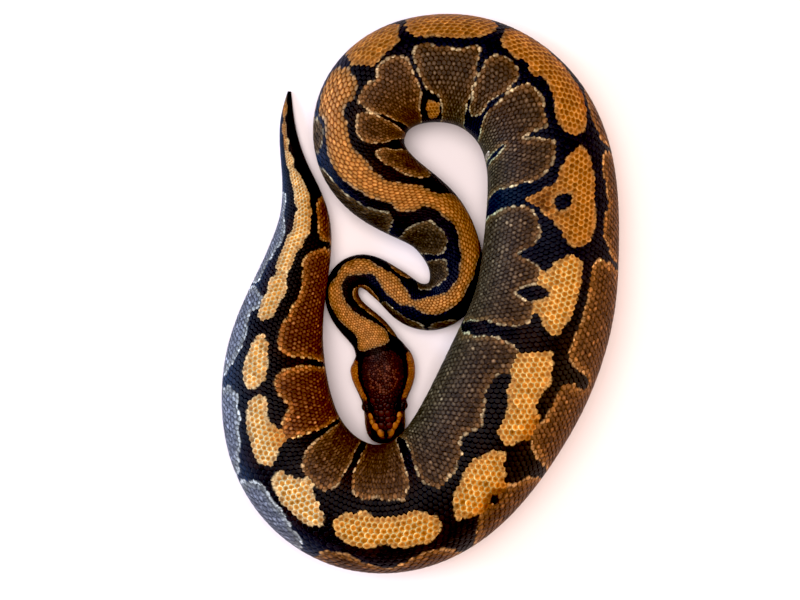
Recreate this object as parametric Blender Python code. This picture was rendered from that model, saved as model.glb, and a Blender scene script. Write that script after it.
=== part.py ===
"""Ball python (Python regius) lying coiled, a still life-size model.

Units are metres and +Z is up. The belly lies on the plane z = 0 and the
snake is seen the right way up from above: +Y runs up the longer side of
the coil, the head points towards -Y inside it.
"""
import math

import bmesh
import bpy
import numpy as np
from mathutils import Matrix, Vector

COLLECTION = "Ball python"
MM = 0.001

# ---------------------------------------------------------------- sizes, mm
GAP = 0.3                # clearance between touching pieces
SIDES = 22               # facets round a body length
RING_STEP = 8.5          # spacing of sections along the spine
TOP_RATIO = 0.88         # back height above the widest level / half width
NAPE_RATIO = 0.74        # the same just behind the head, where it is flatter
NAPE_END = 92.0          # distance from the snout where the nape is round
BELLY_RATIO = 0.78       # belly depth below the widest level / half width
BELLY_SINK = 0.05        # share of the belly depth pressed flat on the floor
BELLY_SQUARE = 2.1       # squareness of the belly's superellipse

HEAD_LENGTH = 52.0       # snout tip to back of the jaws
MOUTH_BACK = 37.0        # snout tip to the corner of the mouth
EYE_BACK = 21.3          # snout tip to the middle of the eye
EYE_RADIUS = 3.1
EYE_SIDE = 9.7           # middle of the eyeball from the head's midline
EYE_HEIGHT = 11.8        # middle of the eyeball above the floor
EYE_SEGMENTS = 16
EYE_RINGS = 10
HEAD_SIDES = 28

# The spine seen from above, snout first. The first three points are the
# head's own axis; then the neck's loop, the turn under the flank, the
# crossing strand, the big top bend, the long right side, the bottom bend,
# the left side and the tail.
SPINE = [
    (-19.2, -83.4), (-20.6, -57.0), (-22.0, -38.0),
    (-28.6, -22.8), (-37.4, -14.0), (-43.0, -5.6), (-44.0, 2.4), (-41.0, 9.0),
    (-34.8, 12.3), (-27.4, 11.0), (-20.8, 6.8), (-14.0, 1.5), (-6.4, -4.7),
    (2.0, -7.4), (10.4, -5.7), (16.6, 0.2), (19.2, 8.4), (18.8, 17.8), (14.7, 29.0),
    (7.2, 39.8), (-6.0, 49.8), (-21.2, 60.2), (-31.6, 73.6),
    (-34.0, 90.0), (-27.8, 106.3), (-12.7, 118.6), (6.0, 123.2), (27.8, 121.1),
    (47.1, 111.0), (61.8, 93.8), (69.5, 72.5), (71.5, 49.5),
    (70.5, 24.0), (66.8, -6.0), (58.2, -32.0), (46.0, -57.5),
    (32.0, -81.5), (14.5, -102.5), (-6.0, -114.8), (-31.0, -117.0),
    (-54.0, -107.0), (-71.0, -87.0), (-79.5, -58.5), (-79.7, -30.0),
    (-74.3, -3.5), (-67.5, 20.8), (-64.8, 41.0), (-68.0, 61.0),
    (-72.4, 79.0), (-74.5, 96.0), (-73.5, 113.5),
]

# Middle of the coil's box in the measure the spine is written in; the
# model is moved by it, so that its origin is under the middle of the coil.
COIL_MIDDLE = (-0.9, 0.15)

# Half width of the body at distances from the snout tip.
HALF_WIDTH = [
    (46.0, 13.9), (52.4, 13.1), (60.0, 11.9), (75.0, 10.5), (92.0, 9.3), (112.0, 9.6),
    (132.0, 11.4), (155.0, 13.4), (185.0, 15.4), (222.0, 20.4), (265.0, 24.6),
    (320.0, 28.7), (380.0, 31.5), (450.0, 36.0), (512.0, 38.9), (545.0, 40.2),
    (590.0, 38.4), (640.0, 35.7), (690.0, 34.3), (730.0, 31.8), (772.0, 27.0),
    (812.0, 20.0), (845.0, 14.9), (860.0, 11.6), (877.0, 7.8), (908.0, 3.5),
    (922.0, 0.9),
]

# Lengths of the body: name and the distance at which each one ends.
BODY_START = 52.4
LENGTHS = [
    ("neck_1", 72.0), ("neck_2", 94.0), ("neck_3", 112.0), ("neck_4", 140.0),
    ("trunk_1", 160.0), ("trunk_2", 178.0), ("trunk_3", 204.0),
    ("trunk_4", 250.0), ("trunk_5", 286.0), ("trunk_6", 318.0),
    ("trunk_7", 356.0), ("trunk_8", 400.0), ("trunk_9", 448.0),
    ("trunk_10", 505.0), ("trunk_11", 565.0), ("trunk_12", 615.0),
    ("trunk_13", 655.0), ("trunk_14", 694.0), ("trunk_15", 738.0),
    ("trunk_16", 790.0), ("trunk_17", 845.0),
    ("tail_1", 890.0), ("tail_2", 921.5),
]

# Head sections: distance from the snout tip, half width, top height,
# height of the widest level, bottom height, squareness above and below.
HEAD_SECTIONS = [
    (0.0, 3.4, 8.4, 6.2, 4.2, 2.2, 2.2),
    (0.8, 5.8, 10.0, 6.0, 2.8, 2.3, 2.3),
    (2.2, 8.0, 11.4, 5.8, 1.5, 2.4, 2.3),
    (4.5, 9.8, 12.6, 5.6, 0.5, 2.5, 2.3),
    (8.0, 11.0, 13.8, 5.6, 0.0, 2.5, 2.3),
    (12.0, 11.5, 14.9, 5.7, 0.0, 2.4, 2.3),
    (16.0, 11.6, 15.9, 5.9, 0.0, 2.4, 2.3),
    (20.0, 11.8, 16.9, 6.1, 0.0, 2.4, 2.3),
    (24.0, 12.8, 17.8, 6.4, 0.0, 2.3, 2.3),
    (28.0, 14.4, 18.6, 6.8, 0.0, 2.2, 2.3),
    (32.5, 16.3, 19.4, 7.2, 0.0, 2.1, 2.3),
    (37.5, 17.8, 20.0, 7.6, 0.0, 2.05, 2.3),
    (42.5, 18.2, 20.2, 7.9, 0.0, 2.0, 2.3),
    (46.5, 17.4, 19.9, 8.0, 0.0, 2.0, 2.3),
    (49.8, 15.6, 19.4, 8.0, 0.0, 2.0, 2.3),
    (52.4, 13.3, 19.2, 9.4, 0.0, 2.0, 2.1),
]

# Line of the closed mouth seen from the side: distance back, height.
MOUTH_LINE = [
    (-4.0, 4.6), (3.0, 4.5), (9.0, 4.6), (15.0, 5.2), (21.0, 5.7),
    (27.0, 5.6), (32.0, 5.2), (37.0, 4.9),
]

# ------------------------------------------------------------ appearance
SKIN_DARK = (0.035, 0.020, 0.014)
SKIN_GOLD = (0.45, 0.24, 0.07)
SKIN_BROWN = (0.14, 0.065, 0.025)
EYE_BLACK = (0.012, 0.008, 0.006)


def clear_scene():
    """Start from an empty scene."""
    for obj in list(bpy.data.objects):
        bpy.data.objects.remove(obj, do_unlink=True)


def natural_spline(knots, values):
    """Natural cubic spline through values at knots; returns a function."""
    t = np.asarray(knots, float)
    y = np.asarray(values, float)
    n = len(t)
    h = np.diff(t)
    system = np.eye(n)
    right = np.zeros_like(y)
    for i in range(1, n - 1):
        system[i, i - 1] = h[i - 1]
        system[i, i] = 2.0 * (h[i - 1] + h[i])
        system[i, i + 1] = h[i]
        left_slope = (y[i] - y[i - 1]) / h[i - 1]
        right_slope = (y[i + 1] - y[i]) / h[i]
        right[i] = 6.0 * (right_slope - left_slope)
    bend = np.linalg.solve(system, right)

    def curve(x):
        x = np.atleast_1d(np.asarray(x, float))
        i = np.clip(np.searchsorted(t, x) - 1, 0, n - 2)
        a = (t[i + 1] - x) / h[i]
        b = (x - t[i]) / h[i]
        if y.ndim > 1:
            a = a[:, None]
            b = b[:, None]
            span = h[i][:, None]
        else:
            span = h[i]
        cubic = (a ** 3 - a) * bend[i] + (b ** 3 - b) * bend[i + 1]
        return a * y[i] + b * y[i + 1] + cubic * span ** 2 / 6.0

    return curve


def spine_by_length():
    """The spine as evenly spaced samples: distance, position, tangent."""
    points = np.array(SPINE, float) - np.array(COIL_MIDDLE)
    chord = np.concatenate([[0.0], np.cumsum(np.hypot(*np.diff(points, axis=0).T))])
    curve = natural_spline(chord, points)
    fine = curve(np.linspace(0.0, chord[-1], 8001))
    run = np.concatenate([[0.0], np.cumsum(np.hypot(*np.diff(fine, axis=0).T))])
    dist = np.linspace(0.0, run[-1], 8001)
    place = np.stack([np.interp(dist, run, fine[:, 0]), np.interp(dist, run, fine[:, 1])], 1)
    tangent = np.gradient(place, dist, axis=0)
    tangent /= np.linalg.norm(tangent, axis=1)[:, None]
    return dist, place, tangent


DIST, PLACE, TANGENT = spine_by_length()
WIDTH_CURVE = natural_spline([k[0] for k in HALF_WIDTH], [k[1] for k in HALF_WIDTH])


def spine_at(s):
    """Position and unit tangent of the spine at distance s."""
    x = float(np.interp(s, DIST, PLACE[:, 0]))
    y = float(np.interp(s, DIST, PLACE[:, 1]))
    tx = float(np.interp(s, DIST, TANGENT[:, 0]))
    ty = float(np.interp(s, DIST, TANGENT[:, 1]))
    size = math.hypot(tx, ty)
    return (x, y), (tx / size, ty / size)


def half_width(s):
    return max(0.9, float(WIDTH_CURVE(s)[0]))


def top_ratio(s):
    """Back height ratio, easing from the flat nape to the round body."""
    ease = min(1.0, max(0.0, (s - BODY_START) / (NAPE_END - BODY_START)))
    ease = ease * ease * (3.0 - 2.0 * ease)
    return NAPE_RATIO + (TOP_RATIO - NAPE_RATIO) * ease


def rounded(value, power):
    """Signed power used by the superellipse."""
    return math.copysign(abs(value) ** (2.0 / power), value)


def body_section(s, push=0.0):
    """Loop of points round the body at s, pushed along the spine by push."""
    (cx, cy), (tx, ty) = spine_at(s)
    w = half_width(s)
    middle = BELLY_RATIO * w * (1.0 - BELLY_SINK)
    loop = []
    for i in range(SIDES):
        angle = 2.0 * math.pi * i / SIDES
        if math.cos(angle) >= 0.0:
            side = w * math.sin(angle)
            z = middle + top_ratio(s) * w * math.cos(angle)
        else:
            side = w * rounded(math.sin(angle), BELLY_SQUARE)
            z = middle + BELLY_RATIO * w * rounded(math.cos(angle), BELLY_SQUARE)
            z = max(z, 0.0)
        loop.append(Vector((cx + ty * side + tx * push, cy - tx * side + ty * push, z)))
    return loop


def lofted(name, loops):
    """Closed solid from a run of equal loops with fanned end faces."""
    bm = bmesh.new()
    rings = [[bm.verts.new(p * MM) for p in loop] for loop in loops]
    count = len(rings[0])
    for a, b in zip(rings, rings[1:]):
        for i in range(count):
            j = (i + 1) % count
            bm.faces.new((a[i], a[j], b[j], b[i]))
    for ring, flip in ((rings[0], True), (rings[-1], False)):
        hub = bm.verts.new(sum((v.co for v in ring), Vector()) / count)
        for i in range(count):
            j = (i + 1) % count
            corners = (ring[j], ring[i], hub) if flip else (ring[i], ring[j], hub)
            bm.faces.new(corners)
    bmesh.ops.recalc_face_normals(bm, faces=bm.faces)
    return finish(name, bm)


def finish(name, bm):
    mesh = bpy.data.meshes.new(name)
    bm.to_mesh(mesh)
    bm.free()
    obj = bpy.data.objects.new(name, mesh)
    bpy.context.scene.collection.objects.link(obj)
    return obj


def body_length(name, start, end):
    """One length of the body between two flat cuts square to the spine."""
    count = max(2, int(math.ceil((end - start) / RING_STEP)))
    stations = [start + (end - start) * i / count for i in range(count + 1)]
    half_gap = GAP / 2.0
    loops = []
    for i, s in enumerate(stations):
        push = 0.0
        if i == 0:
            push = half_gap
        elif i == count:
            push = -half_gap
        loops.append(body_section(s, push))
    return lofted(name, loops)


def head_frame():
    """Matrix from head space (x back from the snout, y across, z up)."""
    (x0, y0), _ = spine_at(0.0)
    (x1, y1), _ = spine_at(MOUTH_BACK)
    back = Vector((x1 - x0, y1 - y0, 0.0)).normalized()
    side = Vector((-back.y, back.x, 0.0))
    matrix = Matrix.Identity(4)
    for row in range(3):
        matrix[row][0] = back[row]
        matrix[row][1] = side[row]
    matrix[0][3] = x0 * MM
    matrix[1][3] = y0 * MM
    return matrix


def head_loop(section, push=0.0):
    """Loop of points round the head at one section of the spine."""
    s, w, top, mid, low, up_power, low_power = section
    (cx, cy), (tx, ty) = spine_at(s)
    loop = []
    for i in range(HEAD_SIDES):
        angle = 2.0 * math.pi * (i + 0.5) / HEAD_SIDES
        c = math.cos(angle)
        power = up_power if c >= 0.0 else low_power
        rise = top - mid if c >= 0.0 else mid - low
        side = w * rounded(math.sin(angle), power)
        z = mid + rise * rounded(c, power)
        loop.append(Vector((cx + ty * side + tx * push, cy - tx * side + ty * push, z)))
    return loop


def whole_head():
    """The head and jaws as one closed solid."""
    loops = [head_loop(s) for s in HEAD_SECTIONS[:-1]]
    loops.append(head_loop(HEAD_SECTIONS[-1], -GAP / 2.0))
    return lofted("whole_head", loops)


def mouth_block(shift, back):
    """Block under the mouth line, its top face moved down by shift."""
    bm = bmesh.new()
    outline = [(x, z - shift) for x, z in MOUTH_LINE if x <= back]
    outline.append((back, MOUTH_LINE[-1][1] - shift))
    outline.append((back, -6.0))
    outline.append((MOUTH_LINE[0][0], -6.0))
    if abs(outline[-4][0] - back) < 1e-6:
        outline.pop(-3)
    left = [bm.verts.new(Vector((x, 30.0, z)) * MM) for x, z in outline]
    right = [bm.verts.new(Vector((x, -30.0, z)) * MM) for x, z in outline]
    count = len(outline)
    bm.faces.new(left)
    bm.faces.new(list(reversed(right)))
    for i in range(count):
        j = (i + 1) % count
        bm.faces.new((left[j], left[i], right[i], right[j]))
    bmesh.ops.recalc_face_normals(bm, faces=bm.faces)
    block = finish("mouth_block", bm)
    block.data.transform(head_frame())
    return block


def ball(name, centre, radius, segments, rings):
    bm = bmesh.new()
    bmesh.ops.create_uvsphere(bm, u_segments=segments, v_segments=rings, radius=radius * MM)
    turn = Matrix.Rotation(math.radians(90.0), 4, "X")
    bmesh.ops.transform(bm, matrix=turn, verts=bm.verts)
    shift = Matrix.Translation(Vector(centre) * MM)
    bmesh.ops.transform(bm, matrix=shift, verts=bm.verts)
    bmesh.ops.recalc_face_normals(bm, faces=bm.faces)
    eyeball = finish(name, bm)
    eyeball.data.transform(head_frame())
    return eyeball


def combined(target, cutter, operation):
    """Apply an exact boolean of cutter to target and drop the cutter."""
    tool = target.modifiers.new("cut", "BOOLEAN")
    tool.operation = operation
    tool.solver = "EXACT"
    tool.object = cutter
    bpy.context.view_layer.update()
    graph = bpy.context.evaluated_depsgraph_get()
    mesh = bpy.data.meshes.new_from_object(target.evaluated_get(graph))
    target.modifiers.remove(tool)
    old = target.data
    target.data = mesh
    bpy.data.meshes.remove(old)
    bpy.data.objects.remove(cutter, do_unlink=True)


def cleaned(obj, weld=0.02):
    """Weld the slivers a boolean leaves and triangulate."""
    bm = bmesh.new()
    bm.from_mesh(obj.data)
    bmesh.ops.remove_doubles(bm, verts=bm.verts, dist=weld * MM)
    bmesh.ops.dissolve_degenerate(bm, edges=bm.edges, dist=weld * MM)
    bmesh.ops.triangulate(bm, faces=bm.faces)
    bmesh.ops.recalc_face_normals(bm, faces=bm.faces)
    bm.to_mesh(obj.data)
    bm.free()


def painted(obj, label, colour, roughness):
    material = bpy.data.materials.new(label)
    material.use_nodes = True
    shader = material.node_tree.nodes["Principled BSDF"]
    shader.inputs["Base Color"].default_value = (*colour, 1.0)
    shader.inputs["Roughness"].default_value = roughness
    shader.inputs["Metallic"].default_value = 0.0
    obj.data.materials.clear()
    obj.data.materials.append(material)


def build():
    clear_scene()
    group = bpy.data.collections.new(COLLECTION)
    bpy.context.scene.collection.children.link(group)
    made = []

    head = whole_head()
    head.name = "head"
    jaw = whole_head()
    jaw.name = "lower_jaw"
    combined(jaw, mouth_block(GAP / 2.0, MOUTH_BACK), "INTERSECT")
    combined(head, mouth_block(-GAP / 2.0, MOUTH_BACK + GAP), "DIFFERENCE")
    for sign in (1.0, -1.0):
        centre = (EYE_BACK, sign * EYE_SIDE, EYE_HEIGHT)
        socket = ball("socket", centre, EYE_RADIUS + GAP, EYE_SEGMENTS, EYE_RINGS)
        combined(head, socket, "DIFFERENCE")
    cleaned(head)
    cleaned(jaw)
    eyes = []
    for name, sign in (("eye_left", -1.0), ("eye_right", 1.0)):
        centre = (EYE_BACK, sign * EYE_SIDE, EYE_HEIGHT)
        eyes.append(ball(name, centre, EYE_RADIUS, EYE_SEGMENTS, EYE_RINGS))
    painted(head, "head_skin", SKIN_DARK, 0.4)
    painted(jaw, "jaw_skin", SKIN_BROWN, 0.4)
    for eye in eyes:
        painted(eye, eye.name + "_gloss", EYE_BLACK, 0.08)
    made += [head, jaw] + eyes

    start = BODY_START
    for i, (name, end) in enumerate(LENGTHS):
        piece = body_length(name, start, end)
        colour = (SKIN_GOLD, SKIN_BROWN, SKIN_DARK)[i % 3]
        painted(piece, name + "_skin", colour, 0.4)
        cleaned(piece, 0.001)
        made.append(piece)
        start = end

    for obj in made:
        for owner in list(obj.users_collection):
            owner.objects.unlink(obj)
        group.objects.link(obj)


build()
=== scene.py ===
"""Ball python (Python regius), coiled and still, life size: skin, scales, eyes.

Lengths are millimetres until a mesh is made. A place on the snake is given
by s, the distance from the snout tip along the spine, and v, the distance
round the body from the line along its top, positive to the right of
somebody travelling from snout to tail.
"""
import math

import bpy
import numpy as np
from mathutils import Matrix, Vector
from mathutils.bvhtree import BVHTree


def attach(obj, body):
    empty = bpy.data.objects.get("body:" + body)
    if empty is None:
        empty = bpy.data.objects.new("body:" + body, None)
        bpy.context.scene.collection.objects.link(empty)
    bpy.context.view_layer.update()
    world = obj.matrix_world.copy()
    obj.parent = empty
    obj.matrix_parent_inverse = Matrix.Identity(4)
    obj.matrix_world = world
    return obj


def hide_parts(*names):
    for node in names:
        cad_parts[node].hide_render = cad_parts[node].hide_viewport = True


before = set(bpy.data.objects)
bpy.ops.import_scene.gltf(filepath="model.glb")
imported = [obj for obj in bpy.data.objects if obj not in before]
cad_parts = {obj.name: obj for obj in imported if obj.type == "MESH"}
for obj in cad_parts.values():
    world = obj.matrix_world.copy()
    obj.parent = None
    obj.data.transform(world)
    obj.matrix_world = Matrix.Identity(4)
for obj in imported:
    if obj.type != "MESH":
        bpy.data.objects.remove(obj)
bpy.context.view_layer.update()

MM = 0.001
BODY = "root"

# ------------------------------------------------------------------ form
SPINE = [
    (-19.2, -83.4), (-20.6, -57), (-22, -38), (-28.6, -22.8), (-37.4, -14), (-43, -5.6), (-44, 2.4),
    (-41, 9), (-34.8, 12.3), (-27.4, 11), (-20.8, 6.8), (-14, 1.5), (-6.4, -4.7), (2, -7.4), (10.4, -5.7),
    (16.6, 0.2), (19.2, 8.4), (18.8, 17.8), (14.7, 29), (7.2, 39.8), (-6, 49.8), (-21.2, 60.2),
    (-31.6, 73.6), (-34, 90), (-27.8, 106.3), (-12.7, 118.6), (6, 123.2), (27.8, 121.1), (47.1, 111),
    (61.8, 93.8), (69.5, 72.5), (71.5, 49.5), (70.5, 24), (66.8, -6), (58.2, -32), (46, -57.5),
    (32, -81.5), (14.5, -102.5), (-6, -114.8), (-31, -117), (-54, -107), (-71, -87), (-79.5, -58.5),
    (-79.7, -30), (-74.3, -3.5), (-67.5, 20.8), (-64.8, 41), (-68, 61), (-72.4, 79), (-74.5, 96),
    (-73.5, 113.5),
]
COIL_MIDDLE = (-0.9, 0.15)

# Distance from the snout and half width of the body.
HALF_WIDTH = [
    (46, 13.9), (52.4, 13.1), (60, 11.9), (75, 10.5), (92, 9.3), (112, 9.6), (132, 11.4), (155, 13.4),
    (185, 15.4), (222, 20.4), (265, 24.6), (320, 28.7), (380, 31.5), (450, 36), (512, 38.9), (545, 40.2),
    (590, 38.4), (640, 35.7), (690, 34.3), (730, 31.8), (772, 27), (812, 20), (845, 14.9), (860, 11.6),
    (877, 7.8), (908, 3.5), (922, 0.9),
]
BODY_START = 52.4
TAIL_TIP = 921.2
NAPE_END = 92.0
NAPE_RATIO = 0.74
TOP_RATIO = 0.88
BELLY_RATIO = 0.78
BELLY_SINK = 0.05
BELLY_SQUARE = 2.1

# Head sections: distance from the snout, half width, top height, height of
# the widest level, bottom height, squareness above and below.
HEAD_SECTIONS = [
    (0, 3.4, 8.4, 6.2, 4.2, 2.2, 2.2),
    (0.8, 5.8, 10, 6, 2.8, 2.3, 2.3),
    (2.2, 8, 11.4, 5.8, 1.5, 2.4, 2.3),
    (4.5, 9.8, 12.6, 5.6, 0.5, 2.5, 2.3),
    (8, 11, 13.8, 5.6, 0, 2.5, 2.3),
    (12, 11.5, 14.9, 5.7, 0, 2.4, 2.3),
    (16, 11.6, 15.9, 5.9, 0, 2.4, 2.3),
    (20, 11.8, 16.9, 6.1, 0, 2.4, 2.3),
    (24, 12.8, 17.8, 6.4, 0, 2.3, 2.3),
    (28, 14.4, 18.6, 6.8, 0, 2.2, 2.3),
    (32.5, 16.3, 19.4, 7.2, 0, 2.1, 2.3),
    (37.5, 17.8, 20, 7.6, 0, 2.05, 2.3),
    (42.5, 18.2, 20.2, 7.9, 0, 2, 2.3),
    (46.5, 17.4, 19.9, 8, 0, 2, 2.3),
    (49.8, 15.6, 19.4, 8, 0, 2, 2.3),
]
MOUTH_LINE = [
    (-4, 4.6), (3, 4.5), (9, 4.6), (15, 5.2), (21, 5.7), (27, 5.6), (32, 5.2), (37, 4.9),
]
MOUTH_BACK = 37.0
EYE_BACK = 21.3
EYE_SIDE = 9.7
EYE_HEIGHT = 11.8
EYE_RADIUS = 3.1

# Roll of the back: where the dorsal midline lies, as v at distances s.
MIDLINE = [
    (0, 0), (30, 0), (50, -2), (75, -4), (100, -3.5), (115, -3), (135, -1.5), (150, -1), (165, 1),
    (180, 4), (195, 8), (205, 9.5), (215, 7), (230, -2), (245, -10), (262, -17), (285, -23), (310, -26),
    (345, -29), (385, -28), (410, -23), (445, -15), (480, -12), (520, -9), (560, -9), (600, -10),
    (650, -12), (700, -11), (750, -10), (800, -9), (850, -4), (900, -1), (922, 0),
]

# Distance between scales of one row along the body, and between the rows.
SCALE_PITCH = [
    (30, 1.3), (60, 1.5), (92, 1.75), (140, 2.05), (185, 2.3), (245, 2.6), (340, 2.7), (470, 2.75),
    (520, 2.9), (560, 3.05), (615, 3), (650, 2.8), (700, 2.65), (800, 2.5), (845, 2.2), (877, 1.6),
    (908, 1.05), (922, 0.7),
]
ROW_GAP = [
    (30, 1.1), (60, 1.2), (92, 1.25), (140, 1.4), (185, 1.6), (245, 1.85), (300, 2.3), (345, 2.65),
    (450, 2.75), (500, 2.9), (560, 3), (650, 3.05), (700, 2.95), (750, 2.75), (800, 2.4), (845, 1.95),
    (877, 1.35), (908, 0.9), (922, 0.6),
]
COAT_DEPTH = 0.14        # depth of the scales over the skin, in pitches
SCALES_START = 47.0      # first scale rows, just under the last head shields
SCALES_END = 919.5


def natural_spline(knots, values):
    """Natural cubic spline through values at knots; returns a function."""
    t = np.asarray(knots, float)
    y = np.asarray(values, float)
    n = len(t)
    h = np.diff(t)
    system = np.eye(n)
    right = np.zeros_like(y)
    for i in range(1, n - 1):
        system[i, i - 1:i + 2] = h[i - 1], 2.0 * (h[i - 1] + h[i]), h[i]
        right[i] = 6.0 * ((y[i + 1] - y[i]) / h[i] - (y[i] - y[i - 1]) / h[i - 1])
    bend = np.linalg.solve(system, right)

    def curve(x):
        x = np.atleast_1d(np.asarray(x, float))
        i = np.clip(np.searchsorted(t, x) - 1, 0, n - 2)
        a = (t[i + 1] - x) / h[i]
        b = (x - t[i]) / h[i]
        span = h[i]
        if y.ndim > 1:
            a, b, span = a[:, None], b[:, None], span[:, None]
        cubic = (a ** 3 - a) * bend[i] + (b ** 3 - b) * bend[i + 1]
        return a * y[i] + b * y[i + 1] + cubic * span ** 2 / 6.0

    return curve


def steady_curve(keys):
    """Smooth curve through (knot, value) keys that never overshoots them."""
    t, y = np.array(keys, float).T
    h = np.diff(t)
    slope = np.diff(y) / h
    w1 = 2.0 * h[1:] + h[:-1]
    w2 = h[1:] + 2.0 * h[:-1]
    with np.errstate(divide="ignore", invalid="ignore"):
        mean = (w1 + w2) / (w1 / slope[:-1] + w2 / slope[1:])
    inner = np.where(slope[:-1] * slope[1:] > 0.0, mean, 0.0)
    m = np.concatenate([slope[:1], inner, slope[-1:]])

    def curve(x):
        x = np.clip(np.asarray(x, float), t[0], t[-1])
        i = np.clip(np.searchsorted(t, x) - 1, 0, len(h) - 1)
        u = (x - t[i]) / h[i]
        u2 = u * u
        u3 = u2 * u
        ends = (2 * u3 - 3 * u2 + 1) * y[i] + (3 * u2 - 2 * u3) * y[i + 1]
        bends = (u3 - 2 * u2 + u) * m[i] + (u3 - u2) * m[i + 1]
        return ends + bends * h[i]

    return curve


def ease(x, low, high):
    """Smooth step from 0 at low to 1 at high."""
    u = np.clip((x - low) / (high - low), 0.0, 1.0)
    return u * u * (3.0 - 2.0 * u)


def hill(x, middle, breadth):
    """Smooth bump, 1 at its middle."""
    return np.exp(-((x - middle) / breadth) ** 2)


def mix(a, b, t):
    t = np.asarray(t)[..., None]
    return a * (1.0 - t) + b * t


def running_length(points):
    """Distance along a line of points, from 0 at the first one."""
    return np.concatenate([[0.0], np.cumsum(np.hypot(*np.diff(points, axis=0).T))])


def spine_by_length(samples=8001):
    """The spine as evenly spaced samples: distance, position, tangent."""
    points = np.array(SPINE, float) - np.array(COIL_MIDDLE)
    chord = running_length(points)
    fine = natural_spline(chord, points)(np.linspace(0.0, chord[-1], samples))
    run = running_length(fine)
    dist = np.linspace(0.0, run[-1], samples)
    place = np.stack([np.interp(dist, run, fine[:, 0]), np.interp(dist, run, fine[:, 1])], 1)
    tangent = np.gradient(place, dist, axis=0)
    tangent /= np.linalg.norm(tangent, axis=1)[:, None]
    return dist, place, tangent


DIST, PLACE, TANGENT = spine_by_length()
body_width = natural_spline(*zip(*HALF_WIDTH))
midline = steady_curve(MIDLINE)
pitch_at = steady_curve(SCALE_PITCH)
row_gap = steady_curve(ROW_GAP)
mouth_height = steady_curve(MOUTH_LINE)


def on_spine(s, table):
    """x and y at s of the spine's positions or tangents."""
    return np.interp(s, DIST, table[:, 0]), np.interp(s, DIST, table[:, 1])


def signed_power(value, power):
    return np.sign(value) * np.abs(value) ** (2.0 / power)


def section_measures(s):
    """Half width, top, widest level, floor and squarenesses, and belly depth."""
    keys = np.array(HEAD_SECTIONS)
    head = [steady_curve(keys[:, [0, column]])(s) for column in range(1, 7)]
    width = np.maximum(0.9, body_width(np.maximum(s, HALF_WIDTH[0][0])))
    ratio = NAPE_RATIO + (TOP_RATIO - NAPE_RATIO) * ease(s, BODY_START, NAPE_END)
    middle = BELLY_RATIO * width * (1.0 - BELLY_SINK)
    body = [width, middle + ratio * width, middle, np.zeros_like(s),
            np.full_like(s, 2.0), np.full_like(s, BELLY_SQUARE)]
    turn = ease(s, 48.5, 55.0)
    mixed = [h * (1.0 - turn) + b * turn for h, b in zip(head, body)]
    depth = (head[2] - head[3]) * (1.0 - turn) + BELLY_RATIO * width * turn
    return mixed, depth


COLUMNS = 257


def section_table():
    """Sections resampled evenly round the body, and half their girth."""
    stations = np.concatenate([np.arange(0.0, 60.0, 0.25), np.arange(60.0, TAIL_TIP, 1.0), [TAIL_TIP]])
    (width, top, middle, low, up_power, low_power), depth = section_measures(stations)
    angle = np.linspace(-math.pi, math.pi, 961)
    side_table = np.zeros((len(stations), COLUMNS))
    height_table = np.zeros((len(stations), COLUMNS))
    girth = np.zeros(len(stations))
    even = np.linspace(0.0, 1.0, COLUMNS)
    c = np.cos(angle)
    for i in range(len(stations)):
        power = np.where(c >= 0.0, up_power[i], low_power[i])
        rise = np.where(c >= 0.0, top[i] - middle[i], depth[i])
        side = width[i] * signed_power(np.sin(angle), power)
        height = np.maximum(middle[i] + rise * signed_power(c, power), low[i])
        run = running_length(np.stack([side, height], 1))
        girth[i] = run[-1] / 2.0
        side_table[i] = np.interp(even * run[-1], run, side)
        height_table[i] = np.interp(even * run[-1], run, height)
    return stations, side_table, height_table, girth


STATIONS, SIDE_TABLE, HEIGHT_TABLE, HALF_GIRTH = section_table()
STATION_ROWS = np.arange(len(STATIONS), dtype=float)


def half_girth(s):
    """Distance round the body from its top line to its bottom line."""
    return np.interp(s, STATIONS, HALF_GIRTH)


def surface(s, v):
    """Points of the outer surface at s, v."""
    s = np.clip(s, 0.0, TAIL_TIP)
    row = np.interp(s, STATIONS, STATION_ROWS)
    i = np.minimum(row.astype(int), len(STATIONS) - 2)
    fr = row - i
    q = (np.clip(v / half_girth(s), -1.0, 1.0) + 1.0) * 0.5 * (COLUMNS - 1)
    j = np.minimum(q.astype(int), COLUMNS - 2)
    fq = q - j

    def sample(table):
        near = table[i, j] * (1.0 - fq) + table[i, j + 1] * fq
        far = table[i + 1, j] * (1.0 - fq) + table[i + 1, j + 1] * fq
        return near * (1.0 - fr) + far * fr

    side = sample(SIDE_TABLE)
    x, y = on_spine(s, PLACE)
    tx, ty = on_spine(s, TANGENT)
    return np.stack([x + ty * side, y - tx * side, sample(HEIGHT_TABLE)], -1)


def spot(s, v):
    """One point of the outer surface."""
    return surface(np.array([s]), np.array([v]))[0]


def normals(s, v, step=0.4):
    """Outward unit normals of the outer surface at s, v."""
    limit = half_girth(s) - 1e-3
    v = np.clip(v, -limit + step, limit - step)
    along = surface(s + step, v) - surface(s - step, v)
    across = surface(s, v + step) - surface(s, v - step)
    normal = np.cross(across, along)
    return normal / np.maximum(np.linalg.norm(normal, axis=-1, keepdims=True), 1e-9)


# ------------------------------------------------------------ head space
HEAD_ORIGIN = np.array(on_spine(0.0, PLACE))
HEAD_REAR = np.array(on_spine(MOUTH_BACK, PLACE))
HEAD_AXIS = (HEAD_REAR - HEAD_ORIGIN) / np.linalg.norm(HEAD_REAR - HEAD_ORIGIN)
HEAD_SIDE = np.array([HEAD_AXIS[1], -HEAD_AXIS[0]])


def to_head(points):
    """World points as back from the snout, side (right positive), height."""
    flat = points[..., :2] - HEAD_ORIGIN
    return np.stack([flat @ HEAD_AXIS, flat @ HEAD_SIDE, points[..., 2]], -1)


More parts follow.
